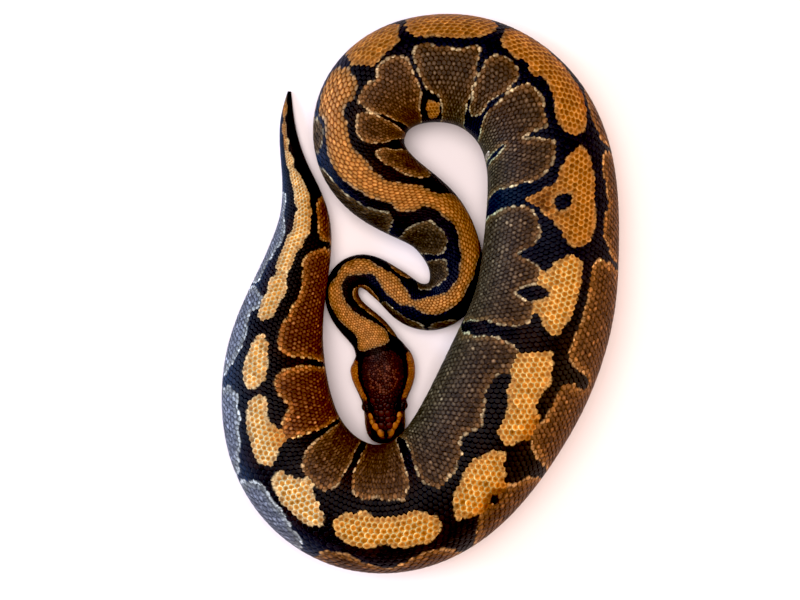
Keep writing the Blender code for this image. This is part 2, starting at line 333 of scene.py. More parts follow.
def from_head(points):
    """Head space back to world."""
    points = np.asarray(points, float)
    flat = HEAD_ORIGIN + points[..., :1] * HEAD_AXIS + points[..., 1:2] * HEAD_SIDE
    return np.concatenate([flat, points[..., 2:3]], -1)


# -------------------------------------------------------------- markings
DIMMER = 0.48            # share of each tone that is painted, as the studio light is strong


def tone(*levels):
    """Linear colour of a display colour given as 0 to 255, or of several."""
    c = np.array(levels, float) / 255.0
    return DIMMER * np.where(c <= 0.04045, c / 12.92, ((c + 0.055) / 1.055) ** 2.4)


# Looks of the blotches, as display colours: the heart of a scale, the ring
# round it and its rim, then heart and rim of the zone inside the blotch's
# edge, then heart and rim of the edge. The pale hearts of tan and of the
# brown looks are painted glints; the pale rims of gold, amber and cream are
# partly their own colour, partly painted highlight on each scale's free edge.
LOOKS = {
    "gold": [(146, 74, 10), (222, 138, 48), (255, 228, 152), (146, 76, 18), (246, 180, 98),
             (236, 178, 106), (96, 54, 22)],
    "amber": [(112, 56, 10), (170, 98, 32), (232, 166, 88), (116, 60, 14), (214, 140, 70),
              (206, 148, 84), (88, 48, 20)],
    "cream": [(164, 88, 20), (240, 164, 72), (255, 250, 200), (168, 98, 32), (254, 208, 142),
              (248, 208, 150), (124, 82, 46)],
    "tan": [(246, 176, 96), (190, 112, 48), (112, 58, 20), (196, 132, 68), (92, 49, 19),
            (190, 148, 104), (62, 32, 16)],
    "umber": [(150, 116, 84), (70, 48, 31), (54, 37, 24), (130, 88, 52), (78, 50, 28),
              (228, 192, 142), (168, 126, 82)],
    "chestnut": [(136, 96, 64), (80, 51, 30), (58, 36, 21), (140, 92, 52), (88, 56, 30),
                 (220, 178, 128), (162, 116, 74)],
    "bark": [(108, 88, 64), (56, 42, 28), (38, 29, 20), (106, 80, 52), (58, 42, 26),
             (178, 160, 126), (108, 88, 62)],
    "russet": [(190, 126, 74), (92, 46, 23), (66, 32, 17), (184, 112, 54), (118, 62, 26),
               (236, 180, 112), (156, 96, 44)],
    "rust": [(164, 108, 64), (92, 55, 27), (62, 37, 19), (158, 102, 52), (100, 60, 28),
             (220, 162, 104), (144, 90, 44)],
    # grey-brown, painted bluish grey as a painted reflection of the window light
    "blue_lit_brown": [(172, 172, 184), (104, 105, 114), (62, 60, 67), (156, 156, 154), (88, 84, 82),
              (230, 228, 220), (160, 154, 146)],
}
PALE_LOOKS = ("gold", "amber", "cream", "tan")
WARM_LOOKS = ("rust", "russet")     # a gold blotch turns orange beside these
BLACK_HEART = tone(31, 23, 20)
BLACK_RIM = tone(20, 15, 13)
WARM_BLACK = tone(42, 26, 18)
# painted reflection of the bluish window light, navy in the black of the neck and the coil's first half
PAINTED_NAVY_REFLECTION = tone(19, 25, 42)
PAINTED_BLUE_REFLECTION = tone(32, 62, 96)       # painted reflection of the bluish window light on the black of the tail's outer side
BELLY_HEART = tone(232, 220, 200)
BELLY_RIM = tone(205, 188, 164)
BELLY_SPECK = tone(120, 96, 80)
BELLY_TONES = np.stack([BELLY_HEART, BELLY_HEART, BELLY_RIM])
CLEFT_TONES = tone((225, 205, 180), (215, 190, 160), (180, 150, 120))
ORANGE_SHIFT = np.array([0.84, 0.62, 0.36])
DUSK_SHIFT = np.array([0.26, 0.18, 0.14])
PAINTED_WINDOW_LIGHT = np.array([0.88, 1.26, 1.34])     # painted light of the bluish window on the inner flank
FAR = 8.0                # distances to a blotch's edge stop here
HEART_REACH = 0.66       # the ring of a scale lies this far out, its rim at 1

# Outlines of the blotches as (s, v), by look.
BLOTCHES = {
    # the back, from the widest part of the coil to its end
    "gold": [
        [(480, -8), (481.5, -12.5), (486.5, -15.8), (493, -16.3), (503, -15.3), (511, -13.2), (518, -11),
         (521.5, -8), (521, -3), (517, 1.5), (513.5, 5), (514, 9), (490, 9), (489.5, 3.5), (483, -2)],
        [(530.5, -9), (533, -11), (543, -14.5), (552, -14.5), (556, -13.5), (561, -15.5), (564, -20.5),
         (574, -20.5), (577, -16.5), (581, -13.5), (582.5, -8), (580.5, -3), (576, -1), (565, -0.3),
         (560, 2.5), (552, 5), (549, 7), (549, 9), (537, 9), (536, 3), (531.5, -4)],
        [(586.7, -12.2), (588, -9), (588.5, -6.5), (591.2, -3.9), (595.6, -1.5), (600, 0.6), (604.5, 0.8),
         (610, -1), (616.7, -3.9), (622.3, -7.2), (624.5, -11.7), (624.5, -17.2), (620, -21),
         (616, -23.5), (616, -26), (599, -26), (599, -22.2), (595.6, -19.4), (591.2, -15)],
        [(631.5, -10), (632, -15), (636, -20), (646, -21.3), (652, -19), (657, -18), (661, -18.3),
         (666, -20.3), (672, -18.7), (678, -14.3), (680, -9), (678, -4), (673, -0.5), (668, 1),
         (662, -0.5), (654, -1.5), (642, -1), (635, -4.5)],
    ],
    # the back of the first half of the coil
    "amber": [
        [(305.4, -33), (304.3, -24), (305.2, -16.5), (308.5, -11.8), (314, -11.3), (321, -14.2),
         (325.5, -22), (325.5, -32), (320, -38), (313, -41), (307, -39)],
        [(330, -37), (328, -26), (331, -18), (338, -15.5), (353, -15.5), (360, -18.5), (363.5, -25),
         (364, -34), (360, -41), (352, -44.5), (342, -45), (334, -42)],
        [(368, -35), (367.3, -28), (368, -20.6), (369.2, -16.7), (373, -15.2), (380, -15.6),
         (383.7, -14.4), (386.4, -12.8), (389, -14.4), (392, -15.9), (395, -15.9), (399, -13.9),
         (403, -11.7), (408, -9.7), (412, -8.6), (416.6, -9.4), (419.4, -12.8), (419.4, -20),
         (417.8, -24), (414.4, -27.2), (410, -31), (403, -34), (394, -36.5), (385, -38.5), (376, -41)],
        [(425, -15.6), (430, -20), (438, -22.2), (457, -22.2), (465.7, -22), (471.8, -19), (475.2, -15),
         (475.2, -8.3), (471.3, -4), (465.7, -0.6), (460.2, 5), (452.4, 15), (450.2, 15.6), (445.2, 8.3),
         (443.4, 4), (441.8, 0.6), (436.8, -2.2), (430.7, -6.7), (426.8, -10.6)],
        [(330, 23), (335, 20), (340, 24), (340, 33), (334, 36), (330, 31)],
    ],
    # the back before the tail, and the stripe along the tail
    "cream": [
        [(683.6, -13), (686, -17), (692, -18.8), (707, -17.8), (713, -14.2), (714.5, -8), (710, -4),
         (705, -1), (704.5, 4), (698.5, 4), (698, 0), (692, -4), (685.5, -8)],
        [(718.2, -11), (720.7, -15.5), (726.7, -17.7), (742, -16.8), (750, -13.2), (753.7, -8),
         (751.5, -4.3), (747.7, -3.4), (742.7, -4.3), (736.8, -2), (733, 3), (727, 3), (725.5, -2),
         (721.5, -5)],
        [(756, -11), (759, -15.5), (766.5, -16.7), (774.5, -14.2), (781.5, -10.5), (783.8, -7),
         (780.5, -4), (773.5, -2), (766.5, -1.8), (761, -4), (757, -7.5)],
        [(790, -9.5), (793.2, -12.8), (801.2, -12), (811, -11), (816, -10), (823, -11), (831, -9.5),
         (837, -8), (844.7, -6), (850.6, -4.5), (856.5, -3.7), (865.4, -3.8), (875, -3.9), (894, -2.9),
         (894, -0.4), (880, 0.4), (873, 1.8), (867, 3.5), (858.5, 4.8), (850.6, 4.8), (843, 4), (836, 2),
         (830, -1), (823, -2.2), (818, -3.2), (812, -1.5), (808, -0.8), (803, -1.5), (796, -3),
         (792, -5.5)],
    ],
    # the stripe of the nape and neck, and the tip of the tail
    "tan": [
        [(54.8, -3), (55.2, -7), (57, -10), (60, -10.3), (63, -8.5), (67, -6.2), (74, -6.3), (83, -7.3),
         (90, -8.6), (94, -8.2), (96, -6.3), (98, -5.4), (101, -6.5), (106, -8.2), (111, -7.8),
         (115.5, -5.2), (118, -6.2), (124, -6.8), (130, -6.2), (137, -3.6), (142, -2.4), (148, -4.5),
         (153, -6), (160, -5.5), (175, 0), (192, 4), (200, 7), (210, 5), (218, 2.8), (222, -1.7),
         (230, -7.6), (236, -7), (244, -10.2), (253, -13.4), (264, -18.8), (271, -19.5), (278, -19.8),
         (282, -22), (284, -27.5), (289, -31), (296, -33), (300.5, -30), (301.3, -23), (301, -14),
         (298, -9), (293, -7.3), (287, -10), (281, -6.7), (274, -4.4), (265, -1.1), (258, 1), (246, 1.8),
         (240, 5), (235, 7.5), (228, 10.6), (220, 12.2), (216, 16.7), (213, 22), (208, 24.6), (200, 23.5),
         (190, 20), (181, 11.5), (168, 6.5), (152, 4.5), (145, 1.4), (142, 2.2), (137, 4.6), (127, 4.6),
         (120, 1.6), (116, 0.2), (112, 1.4), (108, 2), (104, 1.2), (100, -0.2), (95, -0.3), (88, 1.4),
         (76, 3.4), (66, 6.6), (61, 9), (58, 9.3), (55, 8.3), (54, 5)],
        [(886, -3.3), (900, -3.1), (910, -2.8), (917, -2.4), (919.5, -1.4), (917, -0.6), (900, -0.8),
         (886, -0.3)],
    ],
    # the coil's inner side, light brown
    "umber": [
        [(336, 17), (331, 12), (328.5, 2), (328.5, -8), (333, -12), (344, -9), (352, -9), (359, -12),
         (362, -4), (363, 12), (364.5, 25), (368, 38), (374, 50), (345, 52), (343, 34), (342, 20)],
        [(364, 10), (364, 0), (366, -8), (371, -11.5), (378, -11), (383, -7), (382.5, 3), (379, 13),
         (377.5, 23), (372.5, 28), (368, 25), (365.5, 18)],
        [(400, 56), (390, 37), (383, 28), (381, 19), (383, 8), (385.5, -2), (391, -8), (398, -7.5),
         (410, -2.5), (411.5, 5), (412, 12), (414.5, 9), (418, -1), (424, -2.5), (431, 0.5), (438, 7),
         (441.5, 17), (443, 30), (447, 44), (454, 60)],
        [(470, 62), (461, 46), (456, 32), (454, 19), (457, 12.5), (466, 9), (475, 10), (479.5, 17),
         (482, 19.5), (485, 12), (490, 7), (515, 7), (522, 11), (526, 21), (527.5, 33), (529.5, 62)],
        [(543, 64), (539, 44), (535.5, 29), (533, 18), (535, 9), (538, 6), (549, 7), (553, 12), (562, 14),
         (574, 9), (582, 7), (588, 10), (593, 12.5), (600, 7.5), (612, 4), (622, 3), (628, 8), (629, 16),
         (625, 27), (622, 40), (622, 62)],
    ],
    # the coil's inner side, dark brown
    "chestnut": [
        [(226, 21), (228, 17), (234, 13), (242, 11), (250, 9), (257, 7), (263, 8), (263, 14), (258, 18),
         (252, 26), (246, 36), (234, 36), (229, 29)],
        [(269, 18), (268, 11), (271, 4), (278, -1), (286, -1.5), (289, 4), (290, 12), (288, 20),
         (284, 30), (276, 38), (270, 30)],
        [(292, 15), (290.5, 5), (292, -3), (299, -6), (306, -4), (313, -9.5), (320, -9.5), (325, -4),
         (326.5, 6), (327.5, 17), (323, 25), (319, 40), (298, 42), (294, 28)],
        [(631, 62), (631.5, 42), (634, 26), (637.5, 12), (645, 6), (655, 7.5), (662, 9), (671, 7),
         (678, 11), (682, 22), (681, 38), (678, 60)],
        [(692, 60), (690.5, 42), (688, 25), (687, 11), (691, 3), (698, 1), (710, 3), (717, 11), (721, 24),
         (724, 42), (726, 58)],
    ],
    # both sides of the neck
    "bark": [
        [(130, 11), (133, 9), (142, 9), (149, 11), (150, 24), (130, 24)],
        [(153, 11), (157, 10), (160, 13), (162, 26), (153, 26)],
        [(166, 16), (172, 15), (177, 19), (178, 32), (165, 32)],
        [(183, 24), (190, 26), (194, 34), (184, 36)],
        [(137, -30), (137, -15), (142, -10), (152, -10.5), (164, -10.5), (172, -7), (181, -4.3),
         (187, -6), (190, -13), (191, -26), (186, -38), (144, -38)],
        [(202, -36), (198, -19), (193, -11), (192.5, -4), (199, -0.2), (208, -0.5), (215, -5), (220, -14),
         (222, -26), (222, -38)],
        [(230, -40), (229, -25), (230.5, -13), (236, -12.5), (246, -17.5), (258, -22), (265, -27),
         (267, -38), (262, -50), (236, -50)],
        [(272, -34), (271.5, -26), (274, -22.2), (278, -21.8), (280.8, -25), (281.5, -33)],
    ],
    # the inner side of the tail
    "russet": [
        [(731, 56), (727, 36), (725, 22), (727, 8), (728, 1), (734, 1), (744, 7), (752, 3.5), (759, 1),
         (766, 7), (768.5, 20), (767, 38), (763, 54)],
        [(771, 52), (771.5, 36), (773, 20), (773.5, 9), (778, 2.5), (787, 1), (800, 5), (814, 7),
         (824, 3.5), (829, 4.5), (833, 7), (835, 12), (835, 20), (834, 30), (830, 42)],
        [(838, 30), (838, 18), (839.7, 12), (842.7, 9), (850.6, 8), (857.5, 8.5), (859.5, 12), (859, 20),
         (857, 30)],
    ],
    # behind the head, then the outer side of the coil
    "rust": [
        [(56, 12), (60, 18), (78, 17), (98, 15), (99, 9), (88, 7), (72, 9)],
        [(101, 10), (103, 17), (126, 19), (126, 11), (114, 8.5)],
        [(62, -24), (66, -16), (74, -14), (86, -16), (92, -22), (92, -30), (66, -30)],
        [(98, -28), (100, -18), (106, -14.5), (112, -18), (112, -28)],
        [(117, -24), (118, -14), (124, -9.5), (131, -10.5), (133, -18), (133, -30)],
        [(273, -52), (275, -40), (282, -35), (292, -37), (298, -44), (300, -58), (276, -60)],
        [(308, -62), (309, -52), (316, -47), (324, -50), (327, -62)],
        [(338, -70), (340, -56), (348, -51), (360, -51), (367, -56), (369, -70)],
        [(374, -72), (376, -56), (384, -48), (396, -46), (400, -56), (398, -72)],
        [(404, -50), (406, -37), (413, -32), (420, -31.5), (426, -35), (428, -48), (424, -68),
         (408, -68)],
        [(431, -70), (430, -46), (430.5, -33), (438, -29.5), (452, -32), (462, -28.5), (471, -29.5),
         (479, -38), (484, -52), (485, -72)],
        [(489, -74), (487, -54), (483, -38), (481, -29), (483, -23.5), (489, -21.2), (503, -21.2),
         (515, -19.3), (525, -18), (530, -20.3), (533, -27), (534.5, -36), (537, -40.5), (541, -44),
         (545, -56), (546, -74)],
        [(539, -76), (538, -54), (538.5, -43), (541, -38), (540.5, -28), (541.5, -24), (546, -21.5),
         (562, -21.5), (566, -19), (573, -19), (576, -22), (580, -29), (582.5, -40), (583, -76)],
        [(587, -76), (588.5, -52), (590, -36), (597, -27), (600, -24), (617, -24.5), (622, -32),
         (625.5, -46), (628, -76)],
        [(632, -74), (631, -48), (634, -33), (641, -27), (649, -30.5), (656, -36), (664, -30.5),
         (672, -26.5), (679, -30), (681, -44), (682, -74)],
    ],
    # the outer side of the tail: grey-brown blotches painted bluish grey,
    # a painted reflection of the window light
    "blue_lit_brown": [
        [(687, -70), (686.5, -44), (688, -31), (692, -27), (699, -23.2), (709, -21.7), (715, -23),
         (718, -30), (718, -44), (718, -70)],
        [(721, -68), (720, -46), (722.5, -35), (727, -28.5), (733, -24.5), (742, -21.5), (750, -20.5),
         (754.7, -22), (758, -29), (757.5, -40), (758, -66)],
        [(763, -60), (761.5, -42), (764.5, -30), (772, -22), (782, -16.5), (790, -18.5), (797, -13),
         (803, -13.5), (806, -24), (800, -44), (790, -58)],
        [(808, -46), (807.5, -30), (808.5, -21), (812, -18.3), (816, -18.3), (823, -16), (829, -13.5),
         (833, -11), (841, -10.5), (850.6, -12), (860.5, -10), (865.5, -9.5), (866.5, -13), (864, -20),
         (858, -30), (840, -42)],
    ],
}
# A hole is a dark spot inside a blotch, a dusky patch a brown cloud on it.
HOLES = [
    [(448.4, -7), (451, -8.5), (455.4, -6.5), (457, -1), (454.4, 1.5), (449.4, 0.5), (447.8, -3)],
    [(498, 5), (501, 1), (505, 4), (507.5, 9), (505, 18), (501.5, 16), (498, 10)],
    [(604.5, -24), (607, -26.5), (610, -24), (607, -21)],
    [(411, 25), (414, 26), (420, 40), (428, 56), (423, 56), (414, 36)],
]
DUSKY = [
    [(446, 3), (452, 4.5), (458, 3.5), (455.5, 9), (451.5, 12.5), (448, 8)],
    [(601, -25), (605, -28), (610, -28), (614, -24), (610, -19.5), (604, -20)],
]
WHITE_CLEFTS = [
    [(409, 38), (412, 38), (416, 45), (414, 47)],
]

# The outlines were laid out on a straightened snake; on the coil they slip
# this far towards the head.
SLIP = steady_curve([(0, 0), (240, 0), (300, -1), (360, -1.8), (450, -2.4), (650, -2.2), (740, -1.6),
                     (800, -1.2), (860, -0.5), (922, 0)])


def smooth_outline(points, steps=4):
    """Closed Catmull-Rom curve through given corners."""
    p = np.asarray(points, float)
    before, after, beyond = (np.roll(p, shift, 0) for shift in (1, -1, -2))
    out = []
    for t in np.arange(steps) / steps:
        a = -0.5 * t ** 3 + t ** 2 - 0.5 * t
        b = 1.5 * t ** 3 - 2.5 * t ** 2 + 1.0
        c = -1.5 * t ** 3 + 2.0 * t ** 2 + 0.5 * t
        d = 0.5 * t ** 3 - 0.5 * t ** 2
        out.append(a * before + b * p + c * after + d * beyond)
    return np.stack(out, 1).reshape(-1, 2)


def inside_distance(outline, s, v, reach=FAR, batch=40000):
    """Distance inside an outline, negative outside; -reach when far off."""
    result = np.full(s.shape, -reach)
    low = outline.min(0) - reach
    high = outline.max(0) + reach
    near = np.nonzero((s > low[0]) & (s < high[0]) & (v > low[1]) & (v < high[1]))[0]
    ax, ay = outline.T
    bx, by = np.roll(outline, -1, 0).T
    ex, ey = bx - ax, by - ay
    for start in range(0, len(near), batch):
        pick = near[start:start + batch]
        x = s[pick][:, None]
        y = v[pick][:, None]
        t = np.clip(((x - ax) * ex + (y - ay) * ey) / np.maximum(ex ** 2 + ey ** 2, 1e-9), 0.0, 1.0)
        gap = np.sqrt(((ax + t * ex - x) ** 2 + (ay + t * ey - y) ** 2).min(1))
        cross = ((ay > y) != (by > y)) & (x < ex * (y - ay) / np.where(ey == 0.0, 1e-9, ey) + ax)
        inner = cross.sum(1) % 2 == 1
        result[pick] = np.maximum(np.where(inner, gap, -gap), -reach)
    return result


def laid(outlines):
    """Outlines of markings, smoothed and moved to their places on the coil."""
    done = []
    for points in outlines:
        outline = smooth_outline(points)
        outline[:, 0] += SLIP(outline[:, 0])
        done.append(outline)
    return done


OUTLINES = {look: laid(outlines) for look, outlines in BLOTCHES.items()}
HOLE_OUTLINES = laid(HOLES)
DUSKY_OUTLINES = laid(DUSKY)
CLEFT_OUTLINES = laid(WHITE_CLEFTS)


def waves(s, v, size, seed):
    """Smooth random field of about unit spread with features near size."""
    rng = np.random.default_rng(seed)
    total = np.zeros_like(s)
    for _ in range(10):
        turn = rng.uniform(0.0, 2.0 * math.pi)
        rate = rng.uniform(0.6, 1.5) * 2.0 * math.pi / size
        shift = rng.uniform(0.0, 2.0 * math.pi)
        total += np.sin((s * math.cos(turn) + v * math.sin(turn)) * rate + shift)
    return total / math.sqrt(5.0)


def nearest_blotch(s, v):
    """Depth inside the nearest blotch, its look, and depth inside a warm one."""
    depth = np.full(s.shape, -FAR)
    beside = depth.copy()
    kind = np.zeros(s.shape, int)
    for index, look in enumerate(LOOKS):
        for outline in OUTLINES[look]:
            d = inside_distance(outline, s, v)
            if look in WARM_LOOKS:
                beside = np.maximum(beside, d)
            kind = np.where(d > depth, index, kind)
            depth = np.maximum(depth, d)
    for outline in HOLE_OUTLINES:
        depth = np.minimum(depth, -inside_distance(outline, s, v))
    return depth, kind, beside


def ground_tones(s, v, side):
    """Heart, ring and rim of the near-black ground; side is v in half girths."""
    warm = ease(waves(s, v, 30.0, 7), 0.2, 1.6)
    neck = ease(s, 90.0, 130.0) * (1.0 - ease(s, 180.0, 240.0))
    # painted reflection: the black is painted navy on the neck and over the coil's first half
    navy_reflection_share = np.clip(ease(s, 300.0, 350.0) - ease(s, 460.0, 540.0) + neck, 0.0, 1.0)
    heart = mix(mix(BLACK_HEART, WARM_BLACK, warm), PAINTED_NAVY_REFLECTION, 0.7 * navy_reflection_share)
    nape = ease(s, 50.0, 100.0) * (1.0 - ease(s, 210.0, 260.0))
    # painted light: the black is painted lighter down both flanks, where light grazes them, and lighter
    # on the nape
    heart = heart * (1.0 + 0.25 * ease(np.abs(side), 0.15, 0.45) + 0.40 * nape)[:, None]
    # painted reflection: the black of the outer side is painted blue where the window light glances off
    # it
    blue_reflection_share = ease(s, 640.0, 700.0) + 0.6 * ease(s, 210.0, 240.0) * ease(-s, -320.0, -290.0)
    heart = mix(heart, PAINTED_BLUE_REFLECTION, ease(-side, 0.18, 0.45) * blue_reflection_share)
    return np.stack([heart, mix(heart, BLACK_RIM, 0.4), np.tile(BLACK_RIM, (len(s), 1))])


def blotch_tones(name, d, patchy, grain):
    """Heart, ring and rim of a blotch's scales, d scales inside its edge."""
    heart, ring, rim, zone_heart, zone_rim, edge_heart, edge_rim = tone(*LOOKS[name])
    if name in PALE_LOOKS:
        zone = ease(d, 1.6, 4.5)
        border = ease(d, 0.3, 0.9)
        glint = 0.35 * grain ** 2
    else:
        zone = ease(d, 1.8, 6.0)
        border = ease(d, 0.5, 1.05)
        border = border + (1.0 - border) * (1.0 - patchy)
        glint = 0.80 - 0.5 * grain ** 2
    # glint is how far a heart fades to its ring; a pale heart is a painted glint
    hearts = mix(edge_heart, mix(zone_heart, mix(heart, ring, glint), zone), border)
    rings = mix(edge_heart, mix((zone_heart + zone_rim) * 0.5, ring, zone), border)
    rims = mix(edge_rim, mix(zone_rim, rim, zone), border)
    return np.stack([hearts, rings, rims])


def paint(s, v, rim, grain=0.5):
    """Colour at s, v; rim is 1 on a scale's rim, grain 0 to 1 sets how much of its heart shows, a painted
    glint where the heart is pale.
    """
    shape = s.shape
    s = s.ravel().astype(float)
    v = v.ravel().astype(float)
    rim = np.broadcast_to(rim, shape).ravel()
    grain = np.broadcast_to(grain, shape).ravel()
    side = v / half_girth(s)
    patchy = 0.62 + 0.38 * ease(waves(s, v, 16.0, 13), -1.0, 0.8)
    depth, kind, beside = nearest_blotch(s, v)
    depth = depth + 0.35 * waves(s, v, 9.0, 3) * ease(s, 60.0, 200.0)
    scale_size = np.maximum(pitch_at(s) / 3.3, 0.45)
    tones = ground_tones(s, v, side)
    strength = np.full(s.shape, 0.08)
    for index, name in enumerate(LOOKS):
        here = kind == index
        if not here.any():
            continue
        d = depth[here] / scale_size[here]
        cover = ease(d, -0.2, 0.2)
        own = blotch_tones(name, d, patchy[here], grain[here])
        pale = name in PALE_LOOKS
        strength[here] += cover * ((0.12 if pale else 0.42) - strength[here])
        if pale and name != "tan":
            own = own * ORANGE_SHIFT ** ease(beside[here], -FAR, -2.0)[:, None]
        # umber darker on top and lighter down the inner flank; the lighter flank is painted sheen of the
        # window light
        if name == "umber":
            own = own * (0.84 + 0.20 * ease(side[here], 0.05, 0.40))[:, None]
        tones[:, here] = mix(tones[:, here], own, cover)
    for outline in DUSKY_OUTLINES:
        dusk = 0.75 * ease(inside_distance(outline, s, v), -1.5, 1.0)
        tones = mix(tones, tones * DUSK_SHIFT, dusk)
    # painted light: the inner flank is painted bluish where the window light falls on it
    window_light_share = ease(side, 0.12, 0.45) * ease(s, 320.0, 370.0) * (1.0 - ease(s, 600.0, 640.0))
    tones = tones * PAINTED_WINDOW_LIGHT ** window_light_share[:, None]
    for outline in CLEFT_OUTLINES:
        tones = mix(tones, CLEFT_TONES[:, None], ease(inside_distance(outline, s, v), -0.5, 0.3))
    ragged = 0.05 * waves(s, v, 14.0, 11)
    fade = 1.0 - ease(1.0 - np.abs(side) + ragged, 0.25, 0.36)
    fade = fade * (1.0 - ease(s, 872.0, 900.0)) * ease(s, 20.0, 60.0)
    tones = mix(tones, BELLY_TONES[:, None], fade)
    inner = mix(tones[0], tones[1], np.clip(rim / HEART_REACH, 0.0, 1.0))
    colour = mix(inner, tones[2], np.clip((rim - HEART_REACH) / (1.0 - HEART_REACH), 0.0, 1.0))
    speckle = np.random.default_rng(29).normal(0.0, 1.0, s.shape)
    colour = colour * np.exp(strength * speckle)[:, None]
    return colour.reshape(shape + (3,))


# The dark cap of the head as (back, side), its right half from front to
# rear, and the whole outline of the cap's speckled middle.
CROWN = [(4.5, 0), (7, 1.6), (10, 3.6), (15, 5.8), (20, 7.2), (25, 8.2), (30, 10), (36, 11.8),
         (43, 12), (49, 9.6), (52, 4), (53, 0)]
SPECKLED = [(27, 0), (30, -5.5), (35, -8.5), (41, -8), (45, -3.5), (45, 3.5), (41, 8), (35, 8.5),
            (30, 5.5)]
# Middle of the pale stripe over the eye: distance back, side, half breadth.
BROW_STRIPE = [(3, 1.9, 0.8), (6, 3.3, 1.1), (9, 4.9, 1.4), (12, 6.6, 1.4), (16, 8.3, 1.2),
               (19.5, 9.4, 0.5), (24.5, 10.9, 1.3), (29, 12.7, 1.7), (33, 14.7, 1.9), (38, 16.1, 2),
               (43, 16.1, 2), (47, 15.6, 1.9), (49.5, 14.8, 1.4), (51, 14.2, 0)]
# Height of the stripe's upper edge, and of the jowl's white, at distances back.
STRIPE_LEVEL = [(0, 9), (10, 12), (24, 13.6), (32, 11.4), (46, 9.6), (54, 9.6)]
JOWL_LEVEL = [(36, 4), (52, 0.5)]


def look_up(x, keys, column=1):
    """Straight-line value at x in a table of keys."""
    table = np.array(keys).T
    return np.interp(x, table[0], table[column])


def head_paint(points, rim, grain):
    """Colour of the head at world points; grain is a random 0 to 1 per scale."""
    local = to_head(points)
    back, side, height = local[..., 0], local[..., 1], local[..., 2]
    flat = np.abs(side)
    mirrored = CROWN + [(x, -y) for x, y in CROWN[-2:0:-1]]
    cap = inside_distance(smooth_outline(mirrored), back.ravel(), side.ravel()).reshape(back.shape)
    centre = inside_distance(smooth_outline(SPECKLED), back.ravel(), side.ravel()).reshape(back.shape)
    maroon = mix(tone(54, 20, 12), tone(84, 38, 26), ease(grain, 0.5, 1.0))
    speckle = mix(tone(58, 22, 14), tone(132, 66, 44), ease(grain, 0.35, 0.9))
    dark = mix(tone(22, 13, 14), tone(18, 17, 28), grain)
    flank = mix(tone(60, 26, 18), tone(84, 38, 26), grain)
    colour = mix(dark, flank, ease(13.0 - height, 0.0, 2.5))
    colour = mix(colour, maroon, ease(cap, -0.6, 1.2))
    colour = mix(colour, speckle, ease(centre, -1.5, 2.0))
    colour = colour * (1.0 - 0.35 * rim[..., None])
    half = look_up(back, BROW_STRIPE, 2)
    level = look_up(back, STRIPE_LEVEL)
    upper = ease(height, level - 2.4, level - 1.2) * ease(back, 3.0, 4.2)
    off = np.abs(flat - look_up(back, BROW_STRIPE))
    stripe = (1.0 - ease(off, half - 0.3, half + 0.5)) * upper * ease(51.0 - back, 0.0, 1.0)
    pale = mix(tone(240, 150, 66), tone(208, 106, 34), grain)
    colour = mix(colour, mix(pale, tone(164, 88, 30), rim), stripe)
    lip = mouth_height(back)
    lipped = (1.0 - ease(height, lip + 3.0, lip + 4.4)) * (1.0 - ease(back, 34.0, 44.0))
    lip_colour = mix(tone(182, 132, 88), tone(124, 78, 46), rim)
    colour = mix(colour, lip_colour, lipped * ease(height, lip - 1.0, lip + 0.2))
    jowl = look_up(back, JOWL_LEVEL)
    low = np.where(back > 36.0, jowl, lip - 2.2)
    high = np.where(back > 36.0, jowl + 3.5, lip - 0.2)
    chin = mix(tone(230, 214, 192), tone(194, 170, 144), rim)
    colour = mix(colour, chin, 1.0 - ease(height, low, high))
    away = np.sqrt((back - EYE_BACK) ** 2 + (flat - EYE_SIDE) ** 2 + (height - EYE_HEIGHT) ** 2)
    colour = mix(colour, tone(22, 13, 12), 0.85 * (1.0 - ease(away, 3.8, 5.2)))
    # painted shade in the mouth's slit: a near-black line along it
    mouth = (1.0 - ease(np.abs(height - lip), 0.15, 0.45)) * (1.0 - ease(back, 35.0, 37.5))
    return mix(colour, tone(16, 8, 6), mouth)


# ---------------------------------------------------------------- meshes
NO_TRIANGLES = np.zeros((0, 3), int)


def make_mesh(name, points, quads, tris, colours, uvs=None):
    """Mesh object from arrays of points in mm, quads, triangles, colours."""
    mesh = bpy.data.meshes.new(name)
    mesh.vertices.add(len(points))
    mesh.vertices.foreach_set("co", (points * MM).astype(np.float32).ravel())
    corners = np.concatenate([quads.ravel(), tris.ravel()]).astype(np.int32)
    sizes = np.repeat([4, 3], [len(quads), len(tris)])
    starts = np.cumsum(sizes) - sizes
    mesh.loops.add(len(corners))
    mesh.loops.foreach_set("vertex_index", corners)
    mesh.polygons.add(len(sizes))
    mesh.polygons.foreach_set("loop_start", starts.astype(np.int32))
    mesh.update(calc_edges=True)
    layer = mesh.color_attributes.new("markings", "FLOAT_COLOR", "POINT")
    rgba = np.ones((len(points), 4), np.float32)
    rgba[:, :3] = colours
    layer.data.foreach_set("color", rgba.ravel())
    if uvs is not None:
        uv = mesh.uv_layers.new(name="OFBake")
        uv.data.foreach_set("uv", uvs[corners].astype(np.float32).ravel())
    mesh.shade_smooth()
    mesh.validate()
    return place_in_scene(name, mesh)


def place_in_scene(name, data):
    """New object in the scene."""
    obj = bpy.data.objects.new(name, data)
    bpy.context.scene.collection.objects.link(obj)
    return obj


def grid_quads(rows, columns, wrap):
    """Quads of a grid of points, rows by columns, joined round if wrap."""
    last = columns if wrap else columns - 1
    i = np.arange(rows - 1)[:, None] * columns
    j = np.arange(last)[None]
    k = (j + 1) % columns
    return np.stack([i + j, i + k, i + columns + k, i + columns + j], -1).reshape(-1, 4)


